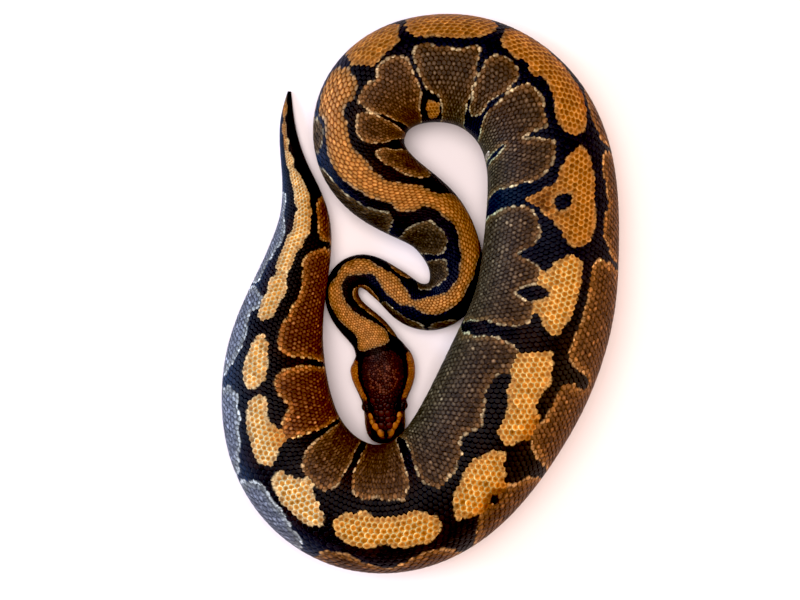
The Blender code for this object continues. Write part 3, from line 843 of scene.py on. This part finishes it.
def end_fans(rows, columns):
    """Triangles from two last points that close both ends of a tube."""
    j = np.arange(columns)
    k = (j + 1) % columns
    first = rows * columns
    rear = first - columns
    front_fan = np.stack([np.full_like(j, first), k, j], -1)
    rear_fan = np.stack([np.full_like(j, first + 1), rear + j, rear + k], -1)
    return np.concatenate([front_fan, rear_fan])


def copies(faces, count, stride):
    """Faces of a template of stride points, for count copies of it."""
    first = (np.arange(count) * stride)[:, None, None]
    return (faces[None] + first).reshape(-1, faces.shape[1])


SKIN_AROUND = 152
HEAD_RING_STEP = 0.4
BODY_RING_STEP = 1.9
HEAD_TREE_ROWS = 155     # rings of the skin that the head's shields are laid on
HEAD_COAT = 0.34         # depth of the head's shields over the skin
BODY_SKIN_SHADE = 0.55   # painted shade: the skin between scales is painted darker than they are
# painted shade of the skin between the head's shields
HEAD_SKIN_SHADE = 0.6


def coat_depth(s):
    """Depth of the skin below the outer surface, mm."""
    turn = ease(s, 46.0, 54.0)
    return HEAD_COAT * (1.0 - turn) + COAT_DEPTH * pitch_at(s) * turn


def head_relief(points):
    """How far the skin of the head swells out or dips in, mm."""
    local = to_head(points)
    back, side, height = local[..., 0], np.abs(local[..., 1]), local[..., 2]
    groove = hill(height, mouth_height(back), 0.55) * (1.0 - ease(back, 34.0, 38.0))
    brow = hill(back, 20.5, 4.5) * hill(side, 8.6, 2.2) * ease(height, 12.0, 15.0)
    loreal = hill(back, 13.0, 4.5) * hill(height, 10.2, 2.4) * ease(side, 8.0, 10.5)
    temple = hill(back, 30.0, 4.0) * hill(height, 13.0, 2.6) * ease(side, 9.0, 13.0)
    furrow = hill(side, 0.0, 2.0) * ease(back, 26.0, 34.0) * (1.0 - ease(back, 42.0, 50.0))
    furrow = furrow * ease(height, 14.0, 18.0)
    return -0.42 * groove + 0.16 * brow - 0.55 * loreal - 0.35 * temple - 0.45 * furrow


def skin_point(s, v, lift=0.0):
    """Points of the skin, raised by lift along the normal."""
    p = surface(s, v)
    relief = np.where(s < 56.0, head_relief(p) * (1.0 - ease(s, 44.0, 54.0)), 0.0)
    return p + normals(s, v) * (relief - coat_depth(s) + lift)[..., None]


def cap_rings(ring):
    """Two smaller rings at the end of a tube."""
    hub = ring.mean(0)
    return np.array([hub + (ring - hub) * shrink for shrink in (0.72, 0.4)])


def build_skin():
    """One seamless skin from the snout to the tail tip."""
    head = np.arange(0.0, 54.0, HEAD_RING_STEP)
    body = np.arange(54.0, 900.0, BODY_RING_STEP)
    tail = np.arange(900.0, TAIL_TIP, 1.0)
    stations = np.concatenate([head, body, tail, [TAIL_TIP]])
    share = np.linspace(-1.0, 1.0, SKIN_AROUND, endpoint=False)
    s = np.repeat(stations[:, None], SKIN_AROUND, 1)
    points = skin_point(s, share[None] * half_girth(stations)[:, None])
    rim = np.full(s.shape, 0.75)
    # painted shade between the scales: the skin is painted darker than they are
    colours = paint(s, share[None] * half_girth(stations)[:, None], rim) * BODY_SKIN_SHADE
    face = head_paint(points, rim, np.full(s.shape, 0.4)) * HEAD_SKIN_SHADE
    colours = mix(face, colours, ease(s, 46.0, 53.0))
    snout = cap_rings(points[0])
    snout[:, :, :2] -= HEAD_AXIS * np.array([0.18, 0.28])[:, None, None]
    points = np.concatenate([snout[::-1], points, cap_rings(points[-1])])
    colours = colours[np.clip(np.arange(-2, len(stations) + 2), 0, len(stations) - 1)]
    hubs = [points[0].mean(0), points[-1].mean(0)]
    flat = np.concatenate([points.reshape(-1, 3), hubs])
    tint = np.concatenate([colours.reshape(-1, 3), colours[0, :1], colours[-1, :1]])
    quads = grid_quads(len(points), SKIN_AROUND, True)
    obj = make_mesh("snake_skin", flat, quads, end_fans(len(points), SKIN_AROUND), tint)
    return obj, flat, quads


# ----------------------------------------------------------- body scales
OUTLINE_POINTS = 10
HALF_LENGTH = 0.65       # of a scale, in pitches
HALF_BREADTH = 0.69      # in row gaps
OUTLINE_POWER = 1.75
SKIRT_POINTS = 7         # along the free rear edge
PATCH = 0.003            # size of a scale on the bake map
MARKING_REACH = 0.5      # how far across a scale the markings run on, 0 to 1
LOWEST = 0.03            # height over the floor of the lowest scales
# The coat's pieces and where each one ends.
COAT_PIECES = [("scales_neck", 175.0), ("scales_trunk_1", 330.0), ("scales_trunk_2", 455.0),
               ("scales_trunk_3", 570.0), ("scales_trunk_4", 700.0), ("scales_tail", TAIL_TIP)]


def scale_template():
    """Points (x back, y across), rise, radius, faces and map places of a scale."""
    count = OUTLINE_POINTS
    angle = 2.0 * math.pi * np.arange(count) / count
    x = HALF_LENGTH * signed_power(np.cos(angle), OUTLINE_POWER)
    y = HALF_BREADTH * signed_power(np.sin(angle), OUTLINE_POWER)
    ring = np.stack([x, y], -1)
    rear = np.arange(-(SKIRT_POINTS // 2), SKIRT_POINTS // 2 + 1) % count
    flat = np.concatenate([ring, ring * HEART_REACH, np.zeros((1, 2)), ring[rear] * 0.97])
    radius = np.repeat([1.0, HEART_REACH, 0.0, 1.0], [count, count, 1, SKIRT_POINTS])
    tilt = 0.10 * (flat[:, 0] + HALF_LENGTH) / (2.0 * HALF_LENGTH) - 0.02
    rise = tilt + 0.035 * (1.0 - radius ** 2)
    rise[-SKIRT_POINTS:] -= 0.12
    j = np.arange(count)
    k = (j + 1) % count
    band = np.stack([k, j, j + count, k + count], -1)
    fan = np.stack([k + count, j + count, np.full(count, 2 * count)], -1)
    a = np.arange(SKIRT_POINTS - 1)
    first = 2 * count + 1
    skirt = np.stack([first + a + 1, first + a, rear[a], rear[a + 1]], -1)
    spread = flat.copy()
    spread[-SKIRT_POINTS:] *= 1.16
    return flat, rise, radius, np.concatenate([band, skirt]), fan, spread


def pitches_along(start, end, step=1.0):
    """Distances s, and the number of steps, each step pitches long, before each."""
    fine = np.linspace(start, end, 6000)
    return fine, np.concatenate([[0.0], np.cumsum(np.diff(fine) / (step * pitch_at(fine[1:])))])


def ventral_half(s):
    """Half breadth of a belly plate."""
    return 0.40 * np.maximum(0.9, body_width(s))


def scale_lattice():
    """Places of all body scales: s, v, and the slope of their row."""
    fine, phase = pitches_along(SCALES_START, SCALES_END)
    ds = 1.0
    rows = []
    for k in range(-60, 61):
        s = np.interp(np.arange(0.0, phase[-1]) + 0.5 * (k % 2), phase, fine)
        gap = row_gap(s)
        v = midline(s) + k * gap
        keep = np.abs(v) < half_girth(s) - ventral_half(s) + 0.4 * gap
        slope = (midline(s + ds) - midline(s - ds)) / (2 * ds)
        slope = slope + k * (row_gap(s + ds) - row_gap(s - ds)) / (2 * ds)
        rows.append(np.stack([s, v, slope], -1)[keep])
    places = np.concatenate(rows)
    return places[np.argsort(places[:, 0], kind="stable")]


def build_scales():
    """Body scales in pieces along the snake."""
    rng = np.random.default_rng(5)
    places = scale_lattice()
    flat, rise, radius, quads, fan, spread = scale_template()
    made = []
    low = 0.0
    for name, high in COAT_PIECES:
        part = places[(places[:, 0] >= low) & (places[:, 0] < high)]
        low = high
        count = len(part)
        s0, v0, slope = part.T[:, :, None]
        pitch = pitch_at(s0)
        turn = rng.normal(0.0, 0.05, (count, 1))
        size = rng.normal(1.0, 0.035, (count, 1))
        shift = rng.normal(0.0, 0.03, (count, 2))
        x = (flat[:, 0] * size + shift[:, :1]) * pitch
        y = (flat[:, 1] * size * rng.normal(1.0, 0.03, (count, 1)) + shift[:, 1:]) * row_gap(s0)
        u = x - turn * y
        w = y + (turn + slope) * x
        points = skin_point(s0 + u, v0 + w, rise * pitch * rng.normal(1.0, 0.10, (count, 1)))
        points[..., 2] = np.maximum(points[..., 2], LOWEST)
        grain = rng.uniform(0.0, 1.0, (count, 1))
        colours = paint(s0 + MARKING_REACH * u, v0 + MARKING_REACH * w, radius, grain)
        colours *= np.exp(rng.normal(0.0, 0.16, (count, 1)))[..., None]
        # painted shade: the skirt under each scale's free rear edge is painted at half
        colours[:, -SKIRT_POINTS:] *= 0.5
        root_u = 0.02 + 0.96 * (s0 - s0[0]) / (s0[-1] - s0[0])
        root_v = 0.5 + 0.48 * v0 / half_girth(s0)
        uv = np.stack([root_u, root_v], -1) + spread * PATCH * 0.7
        made.append(make_mesh(name, points.reshape(-1, 3), copies(quads, count, len(flat)),
                              copies(fan, count, len(flat)),
                              np.clip(colours, 0.0, 1.0).reshape(-1, 3), uv.reshape(-1, 2)))
    return made


# ---------------------------------------------------------- belly plates
PLATE_PITCH = 1.28       # of the scales' pitch
PLATE_COLUMNS = 17
PLATE_ROWS = np.array([-0.35, 0.2, 0.72, 0.70])     # places back, in pitches
PLATE_LIFTS = np.array([0.0, 0.06, 0.09, 0.0])
PLATE_RIMS = np.array([0.6, 0.1, 0.8, 1.0])


def build_belly():
    """Wide belly plates from the throat to the vent, then under the tail."""
    fine, phase = pitches_along(48.0, 916.0, PLATE_PITCH)
    marks = np.interp(np.arange(1.0, phase[-1]), phase, fine)[:, None, None]
    across = np.linspace(-1.0, 1.0, PLATE_COLUMNS)
    rows = PLATE_ROWS[:, None]
    pitch = PLATE_PITCH * pitch_at(marks)
    s = np.clip(marks + pitch * (rows + 0.22 * (1.0 - across ** 2) - 0.15), 40.0, TAIL_TIP)
    bottom = half_girth(s)
    v = bottom + across * ventral_half(s) * 1.12
    v = np.where(v > bottom, v - 2.0 * bottom, v)
    lift = PLATE_LIFTS[:, None] * (1.0 - 0.6 * np.abs(across) ** 6) - 0.01
    points = skin_point(s, v, lift * pitch)
    points[..., 2] = np.maximum(points[..., 2], LOWEST)
    rim = np.broadcast_to(PLATE_RIMS[:, None], s.shape)
    speck = ease(waves(s, np.abs(v), 9.0, 21), 0.8, 2.0)
    colours = mix(mix(BELLY_HEART, BELLY_RIM, rim), BELLY_SPECK, 0.6 * speck)
    count = len(marks)
    quads = grid_quads(len(PLATE_ROWS), PLATE_COLUMNS, False)
    uv = np.zeros(s.shape + (2,))
    uv[..., 0] = 0.02 + 0.96 * (marks - marks[0]) / (marks[-1] - marks[0]) + (rows + 0.35) * PATCH
    uv[:, 3, :, 0] += 0.0009
    uv[..., 1] = 0.25 + 0.5 * (np.arange(count) % 2)[:, None, None] + 0.2 * across
    return make_mesh("belly_plates", points.reshape(-1, 3), copies(quads, count, s[0].size),
                     NO_TRIANGLES, colours.reshape(-1, 3), uv.reshape(-1, 2))


# --------------------------------------------------------- head shields
SHIELD_SIDES = 16
SHIELD_ANGLES = 2.0 * math.pi * np.arange(SHIELD_SIDES) / SHIELD_SIDES
ROUND = np.stack([np.cos(SHIELD_ANGLES), np.sin(SHIELD_ANGLES)], -1)
RING_SCALES = 12         # small scales round an eye
RING_EDGE = 0.86         # angle from the eye's axis to their free edge
RING_ROOT = 1.62         # and to their root in the head
EYE_GROUP = 2            # shields of group 0 are above the mouth, of 1 below
EYE_TILT_UP = math.radians(24.0)
EYE_TILT_FRONT = math.radians(14.0)


def girth_place(back, side, height=None):
    """v of a point of the head section at back, by side or by height."""
    row = int(np.interp(back, STATIONS, STATION_ROWS))
    half = COLUMNS // 2
    if height is None:
        run = np.abs(SIDE_TABLE[row, half:])
        peak = int(run.argmax())
        q = np.interp(abs(side), run[:peak + 1], np.arange(peak + 1))
    else:
        rise = HEIGHT_TABLE[row, half:]
        q = np.interp(-height, -rise, np.arange(len(rise)))
    return math.copysign(q / half * HALF_GIRTH[row], side)


# Big shields of the snout: distance back, side, radius; each made twice.
SNOUT_SHIELDS = [
    (2.6, 1.6, 1.7), (6.2, 2.5, 2.2), (10.4, 2.2, 1.7), (10.2, 5.8, 1.6), (6.4, 6.6, 1.7),
    (13.8, 1.7, 1.6), (13.8, 5.0, 1.6), (17.2, 1.8, 1.7), (20.8, 8.3, 2.9), (16.2, 8.2, 1.5),
    (20.8, 2.2, 1.6), (20.6, 4.9, 1.3), (24.6, 6.6, 1.6), (24.2, 3.6, 1.4),
]
UPPER_LABIALS = 11
LOWER_LABIALS = 12
OCULARS = 9
PIT_LABIALS = 4
# Radius of the small scales at distances back.
SMALL_RADIUS = [(0, 1), (12, 0.95), (24, 0.72), (36, 0.6), (50, 0.55)]


def fixed_seeds():
    """Listed shields: world place, radius, group, kind."""
    seeds = []

    def add(back, v, radius, group, kind="plain"):
        seeds.append((spot(back, v), radius, group, kind))

    for back, side, radius in SNOUT_SHIELDS:
        for sign in (1.0, -1.0):
            add(back, girth_place(back, sign * side), radius, 0)
    seeds.append((from_head((-0.3, 0.0, 7.2)), 2.1, 0, "plain"))
    seeds.append((from_head((-0.2, 0.0, 3.3)), 1.5, 1, "plain"))
    for sign in (1.0, -1.0):
        for i, back in enumerate(np.linspace(2.0, 36.0, UPPER_LABIALS)):
            kind = "pit" if i < PIT_LABIALS else "plain"
            add(back, girth_place(back, sign, float(mouth_height(back)) + 2.0), 1.75, 0, kind)
        for back in np.linspace(1.8, 36.5, LOWER_LABIALS):
            height = max(float(mouth_height(back)) - 1.7, 1.2)
            add(back, girth_place(back, sign, height), 1.6, 1)
        add(3.3, girth_place(3.3, sign, 9.4), 0.8, 0, "nostril")
        seeds.append((from_head((EYE_BACK, sign * EYE_SIDE, EYE_HEIGHT)), 2.0, EYE_GROUP, "void"))
        for i in range(OCULARS):
            angle = 2.0 * math.pi * (i + 0.3) / OCULARS
            back = EYE_BACK + 3.25 * math.cos(angle)
            height = EYE_HEIGHT + 3.2 * math.sin(angle)
            if height <= 14.4:
                add(back, girth_place(back, sign, height), 1.0, 0)
    return seeds


def small_seeds(fixed, rng, tries=42000):
    """Random small scales that keep clear of the listed shields."""
    places = np.array([seed[0] for seed in fixed])
    radii = np.array([seed[1] for seed in fixed])
    found = []
    s = rng.uniform(0.3, 50.0, tries)
    v = rng.uniform(-1.0, 1.0, tries) * half_girth(s)
    points = surface(s, v)
    local = to_head(points)
    for p, (back, _, height), level in zip(points, local, mouth_height(local[:, 0])):
        radius = look_up(back, SMALL_RADIUS)
        if height < 4.0:
            radius *= 1.35
        if back < MOUTH_BACK and abs(height - level) < radius:
            continue
        if (np.linalg.norm(places - p, axis=1) < (radii + radius) * 0.93).any():
            continue
        group = 1 if back < MOUTH_BACK and height < level else 0
        places = np.vstack([places, p])
        radii = np.append(radii, radius)
        found.append((p, radius, group, "plain"))
    return found


def eye_axes(sign):
    """Centre of an eye and its outward, up and along directions in the world."""
    sin_up, cos_up = math.sin(EYE_TILT_UP), math.cos(EYE_TILT_UP)
    sin_front, cos_front = math.sin(EYE_TILT_FRONT), math.cos(EYE_TILT_FRONT)
    outward = (-cos_up * sin_front, cos_up * cos_front, sin_up)
    up = (sin_up * sin_front, -sin_up * cos_front, cos_up)
    along = (cos_front, sin_front, 0.0)
    axes = []
    for back, side, rise in (outward, up, along):
        axes.append(np.append(back * HEAD_AXIS + sign * side * HEAD_SIDE, rise))
    return from_head((EYE_BACK, sign * EYE_SIDE, EYE_HEIGHT)), np.array(axes)


def on_eye(sign, radius, polar, turn):
    """Points of an eye at angles from its axis and round it, also in its own axes."""
    centre, axes = eye_axes(sign)
    out = radius * np.cos(polar)
    up = radius * np.sin(polar) * np.cos(turn)
    along = radius * np.sin(polar) * np.sin(turn)
    own = np.stack(np.broadcast_arrays(out, up, along), -1)
    return centre + own @ axes, own


def eye_ring(sign, rng):
    """Small scales that close round an eye, each as one part of a mesh."""
    parts = []
    rows, columns = 6, 7
    quads = grid_quads(rows, columns, False)
    if sign > 0:
        quads = quads[:, ::-1]
    across = np.linspace(-1.0, 1.0, columns)[None, :]
    down = np.linspace(0.0, 1.0, rows)[:, None]
    for i in range(RING_SCALES):
        middle = 2.0 * math.pi * (i + 0.5) / RING_SCALES
        turn = middle + across * math.pi / RING_SCALES * (0.96 - 0.10 * (1.0 - down) ** 3)
        lid = RING_EDGE - 0.16 * max(0.0, math.cos(middle))
        polar = lid + (RING_ROOT - lid) * down + 0.03 * across ** 2 * (1.0 - down)
        swell = (1.0 - across ** 4) * np.sin(math.pi * np.clip(down * 0.8 + 0.12, 0.0, 1.0))
        points = on_eye(sign, EYE_RADIUS + 0.02 + 0.30 * swell, polar, turn)[0].reshape(-1, 3)
        tint = head_paint(points, (1.0 - swell).ravel(), np.full(len(points), rng.uniform()))
        tint = mix(tint, tone(26, 17, 16), 0.6 + 0.25 * math.cos(middle))
        around = np.array([0.40 + 0.008 * i, 0.5 + sign * 0.492])
        spread = 0.5 * np.stack(np.broadcast_arrays(across, down), -1).reshape(-1, 2)
        parts.append((points, quads, NO_TRIANGLES, tint, around + spread * PATCH))
    return parts


def on_skin(tree, point, lift=0.0):
    """Nearest place of the skin, raised by lift, and its normal."""
    hit, normal, _, _ = tree.find_nearest(Vector(point))
    return np.array(hit) + np.array(normal) * lift, np.array(normal)


def shield_frame(n):
    """Two directions across the skin at normal n, the first one toward the tail."""
    back = np.append(HEAD_AXIS, 0.0)
    ex = back - n * (back @ n)
    if np.linalg.norm(ex) < 0.3:
        ex = np.array([0.0, 0.0, 1.0]) - n * n[2]
    ex /= np.linalg.norm(ex)
    return ex, np.cross(n, ex)


def shield_outline(i, ex, ey, places, outward, radii, groups):
    """Edge of shield i, out to the seams with its neighbours."""
    gap = places - places[i]
    span = np.linalg.norm(gap, axis=1)
    close = (span > 1e-6) & (span < 4.0 * max(radii[i], 1.2) + 2.0)
    near = np.nonzero(close & (outward @ outward[i] > 0.1))[0]
    plane = np.stack([gap[near] @ ex, gap[near] @ ey], -1)
    toward = plane / np.maximum(np.linalg.norm(plane, axis=1), 0.2)[:, None]
    reach = 0.5 * (span[near] + (radii[i] ** 2 - radii[near] ** 2) / span[near])
    seam = np.where(groups[near] == groups[i], 0.09, 0.22)
    seam = np.where(groups[near] == EYE_GROUP, 0.05, seam)
    limit = np.maximum(ROUND @ toward.T, 1e-3) / np.maximum(reach - seam, 0.25)
    cap = 1.0 / (2.4 * radii[i])
    return ROUND * ((np.sum(limit ** 16, 1) + cap ** 16) ** (-1.0 / 16.0))[:, None]


def shield_profile(kind, radius):
    """Layers of a shield as (shrink, lift) from its root inward, and its middle's lift."""
    dome = 0.09 + 0.03 * min(radius, 2.5)
    if kind == "plain":
        return [(1.0, -0.16), (0.96, 0.05), (0.80, 0.05 + dome * 0.75)], 0.05 + dome
    deep = -0.5 if kind == "nostril" else -0.22
    return [(1.0, -0.16), (0.97, 0.10), (0.62, 0.22), (0.34, deep * 0.5)], deep


def shield_part(tree, place, seed, outline, ex, ey, rng):
    """One shield as a part of a mesh, laid on the skin point by point."""
    kind = seed[3]
    layers, middle = shield_profile(kind, seed[1])
    grain = rng.uniform()
    points = []
    for shrink, lift in layers:
        for dx, dy in outline * shrink:
            points.append(on_skin(tree, place + ex * dx + ey * dy, lift)[0])
    points = np.array(points + [on_skin(tree, place, middle)[0]])
    count = len(layers)
    level = np.append(np.repeat(1.0 - np.arange(count) / count, SHIELD_SIDES), 0.0)
    sample = place + (points - place) * MARKING_REACH
    tint = head_paint(sample, level ** 2, np.full(len(points), grain))
    # painted shade: the deep middles of pits and nostrils are painted darker
    if kind != "plain":
        tint = mix(tint, tint * 0.25, ease(-level, -0.42, -0.1))
    tint *= math.exp(rng.normal(0.0, 0.12))
    # painted shade: a shield's sunk root ring, in the seams, is painted at half
    tint[:SHIELD_SIDES] *= 0.5
    a = (count - 1) * SHIELD_SIDES + np.arange(SHIELD_SIDES)
    fan = np.stack([a, np.roll(a, -1), np.full(SHIELD_SIDES, count * SHIELD_SIDES)], -1)
    back, side, height = to_head(place)
    around = math.atan2(side, height - 7.0) / math.pi
    centre = np.array([0.04 + 0.9 * max(back, -1.0) / 54.0 + 0.02, 0.5 + 0.47 * around])
    rings = ROUND * (1.0 - 0.28 * np.arange(count))[:, None, None]
    uv = centre + np.vstack([rings.reshape(-1, 2), np.zeros((1, 2))]) * PATCH * 0.5
    return points, grid_quads(count, SHIELD_SIDES, True), fan, tint, uv


def build_head_shields(skin_tree):
    """Shields and small scales of the head as domed plates over the skin."""
    rng = np.random.default_rng(17)
    seeds = fixed_seeds()
    seeds += small_seeds(seeds, rng)
    seats = [on_skin(skin_tree, seed[0]) for seed in seeds]
    places = np.array([seat[0] for seat in seats])
    outward = np.array([seat[1] for seat in seats])
    radii = np.array([seed[1] for seed in seeds])
    groups = np.array([seed[2] for seed in seeds])
    parts = []
    for i, seed in enumerate(seeds):
        if seed[3] == "void":
            continue
        ex, ey = shield_frame(outward[i])
        outline = shield_outline(i, ex, ey, places, outward, radii, groups)
        parts.append(shield_part(skin_tree, places[i], seed, outline, ex, ey, rng))
    parts += eye_ring(-1.0, rng) + eye_ring(1.0, rng)
    points, quads, tris, tints, uvs = zip(*parts)
    first = np.cumsum([0] + [len(p) for p in points])
    quads = np.concatenate([faces + n for faces, n in zip(quads, first)])
    tris = np.concatenate([faces + n for faces, n in zip(tris, first)])
    return make_mesh("head_scales", np.concatenate(points), quads, tris,
                     np.clip(np.concatenate(tints), 0.0, 1.0), np.concatenate(uvs))


# ------------------------------------------------------------------ eyes
def build_eye(name, sign):
    """Eyeball with a slight bulge over a dark iris and an upright pupil."""
    rings = 40
    spokes = 56
    polar = np.linspace(0.0, math.pi, rings + 1)[1:-1, None]
    turn = np.linspace(0.0, 2.0 * math.pi, spokes, endpoint=False)
    centre, axes = eye_axes(sign)
    own = on_eye(sign, EYE_RADIUS, polar, turn)[1]
    up, along = own[..., 1], own[..., 2]
    own[..., 0] *= 1.0 + 0.02 * hill(polar, 0.0, 0.5)      # the bulge
    poles = [(1.02 * EYE_RADIUS, 0.0, 0.0), (-EYE_RADIUS, 0.0, 0.0)]
    points = centre + np.concatenate([own.reshape(-1, 3), poles]) @ axes
    pupil = 1.0 - ease(np.hypot(along / 0.42, up / 1.25), 0.9, 1.1)
    radial = np.hypot(along, up)
    fibres = 0.5 + 0.5 * np.sin(turn * 23.0 + 3.0 * np.sin(turn * 7.0))
    iris = mix(tone(56, 33, 20), tone(104, 66, 38), fibres * ease(radial, 0.3, 1.6))
    iris = mix(iris, tone(120, 92, 70), 0.5 * ease(up, 0.9, 1.9))
    iris = mix(iris, tone(14, 9, 8), ease(radial, 1.7, 2.1))
    colours = mix(iris, tone(3, 2, 2), pupil).reshape(-1, 3)
    colours = np.concatenate([colours, tone((3, 2, 2), (14, 9, 8))])
    quads = grid_quads(rings - 1, spokes, True)
    tris = end_fans(rings - 1, spokes)
    if sign < 0:
        quads = quads[:, ::-1]
        tris = tris[:, ::-1]
    return make_mesh(name, points, quads, tris, colours)


# ------------------------------------------------------------- materials
def skin_material(name, roughness, vary, bump_size, bump_depth, sheen):
    """Markings from the mesh, with fine mottling, uneven gloss and grain."""
    material = bpy.data.materials.new(name)
    material.use_nodes = True
    nodes = material.node_tree.nodes
    link = material.node_tree.links.new
    shader = nodes["Principled BSDF"]
    place = nodes.new("ShaderNodeTexCoord").outputs["Object"]

    def add(kind, **inputs):
        node = nodes.new("ShaderNode" + kind)
        for key, value in inputs.items():
            node.inputs[key.replace("_", " ")].default_value = value
        return node

    def noise(scale, detail):
        node = add("TexNoise", Scale=scale, Detail=detail)
        link(place, node.inputs["Vector"])
        return node.outputs["Fac"]

    shader.inputs["IOR"].default_value = 1.42
    shader.inputs["Specular IOR Level"].default_value = sheen
    markings = nodes.new("ShaderNodeAttribute")
    markings.attribute_name = "markings"
    level = add("MapRange", From_Min=0.25, From_Max=0.75, To_Min=1.0 - vary, To_Max=1.0 + vary)
    link(noise(800.0, 4.0), level.inputs["Value"])
    tint = nodes.new("ShaderNodeVectorMath")
    tint.operation = "SCALE"
    link(markings.outputs["Color"], tint.inputs[0])
    link(level.outputs["Result"], tint.inputs["Scale"])
    link(tint.outputs["Vector"], shader.inputs["Base Color"])
    gloss = add("MapRange", To_Min=roughness - 0.07, To_Max=roughness + 0.09)
    link(noise(160.0, 3.0), gloss.inputs["Value"])
    link(gloss.outputs["Result"], shader.inputs["Roughness"])
    bump = add("Bump", Strength=0.35, Distance=bump_depth)
    link(noise(bump_size, 3.0), bump.inputs["Height"])
    link(bump.outputs["Normal"], shader.inputs["Normal"])
    return material


# ----------------------------------------------------------------- scene
CAMERA = (-10.85, -3.75, 1100.0)        # looks straight down
FLOOR_COLOUR = (0.78, 0.665, 0.665, 1.0)
FLOOR_HALF = 3.0         # half breadth, metres
BLACK_POINT = 0.015      # the picture's deep shadows
WORLD_COLOUR = (1.0, 0.96, 0.98, 1.0)
# Lights: name, place and aim in metres, size, power in watts, colour.
LIGHTS = [
    ("soft_above", (-0.22, 0.10, 1.75), (0.0, 0.0, 0.0), 1.3, 38.5, (1.0, 0.98, 0.96)),
    ("window_left", (-1.3, 0.2, 0.45), (0.0, 0.0, 0.02), 0.9, 33.0, (0.44, 0.64, 1.0)),
    ("fill_right", (1.25, -0.3, 0.55), (0.0, 0.0, 0.0), 0.9, 18.0, (1.0, 0.77, 0.56)),
]


def build_floor():
    """Plain pale floor, wider than the picture."""
    material = bpy.data.materials.new("pale_floor")
    material.use_nodes = True
    shader = material.node_tree.nodes["Principled BSDF"]
    shader.inputs["Base Color"].default_value = FLOOR_COLOUR
    shader.inputs["Roughness"].default_value = 0.7
    mesh = bpy.data.meshes.new("floor")
    corners = [(x * FLOOR_HALF, y * FLOOR_HALF, 0.0) for x, y in ((-1, -1), (1, -1), (1, 1), (-1, 1))]
    mesh.from_pydata(corners, [], [(0, 1, 2, 3)])
    mesh.materials.append(material)
    obj = place_in_scene("floor", mesh)


def add_light(name, place, target, size, power, colour):
    """Square lamp at a place, aimed at a target."""
    light = bpy.data.lights.new(name, "AREA")
    light.shape = "SQUARE"
    light.size = size
    light.energy = power
    light.color = colour
    obj = place_in_scene(name, light)
    obj.location = place
    aim = Vector(target) - Vector(place)
    obj.rotation_euler = aim.to_track_quat("-Z", "Y").to_euler()


def build_stage():
    """Floor, soft studio light and the camera looking straight down."""
    build_floor()
    for light in LIGHTS:
        add_light(*light)
    world = bpy.data.worlds.new("studio")
    world.use_nodes = True
    back = world.node_tree.nodes["Background"]
    back.inputs["Color"].default_value = WORLD_COLOUR
    back.inputs["Strength"].default_value = 0.35
    bpy.context.scene.world = world
    view = bpy.context.scene.view_settings
    view.view_transform = "Standard"
    view.use_curve_mapping = True
    view.curve_mapping.black_level = (BLACK_POINT, BLACK_POINT, BLACK_POINT)
    view.curve_mapping.update()
    camera = bpy.data.cameras.new("camera")
    camera.lens = 88.5
    camera.sensor_width = 36.0
    camera.clip_start = 0.05
    obj = place_in_scene("camera", camera)
    obj.location = Vector(CAMERA) * MM
    bpy.context.scene.camera = obj


def dress(obj, material):
    """Give a piece its material and its body."""
    obj.data.materials.append(material)
    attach(obj, BODY)


def main():
    """Skin, scales and eyes with their looks, then the stage round them."""
    skin, skin_points, skin_quads = build_skin()
    head_rows = skin_quads[:HEAD_TREE_ROWS * SKIN_AROUND]
    tree = BVHTree.FromPolygons([Vector(p) for p in skin_points[:head_rows.max() + 1]],
                                [tuple(q) for q in head_rows])
    shields = build_head_shields(tree)
    scales = build_scales()
    belly = build_belly()
    leather = skin_material("skin_between_scales", 0.60, 0.15, 1500.0, 0.0001, 0.15)
    scale_look = skin_material("body_scales", 0.50, 0.42, 2600.0, 0.00006, 0.10)
    shield_look = skin_material("head_shields", 0.42, 0.14, 2600.0, 0.00005, 0.17)
    belly_look = skin_material("belly_plates", 0.40, 0.08, 1800.0, 0.00006, 0.25)
    eye_look = skin_material("eyes", 0.24, 0.05, 900.0, 0.00001, 0.25)
    dress(skin, leather)
    flesh = [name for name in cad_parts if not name.startswith("eye")]
    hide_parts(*flesh)
    for piece in scales:
        dress(piece, scale_look)
    dress(belly, belly_look)
    dress(shields, shield_look)
    for name, sign in (("eye_left", -1.0), ("eye_right", 1.0)):
        eye = build_eye(name + "_ball", sign)
        dress(eye, eye_look)
        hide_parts(name)
    build_stage()


main()
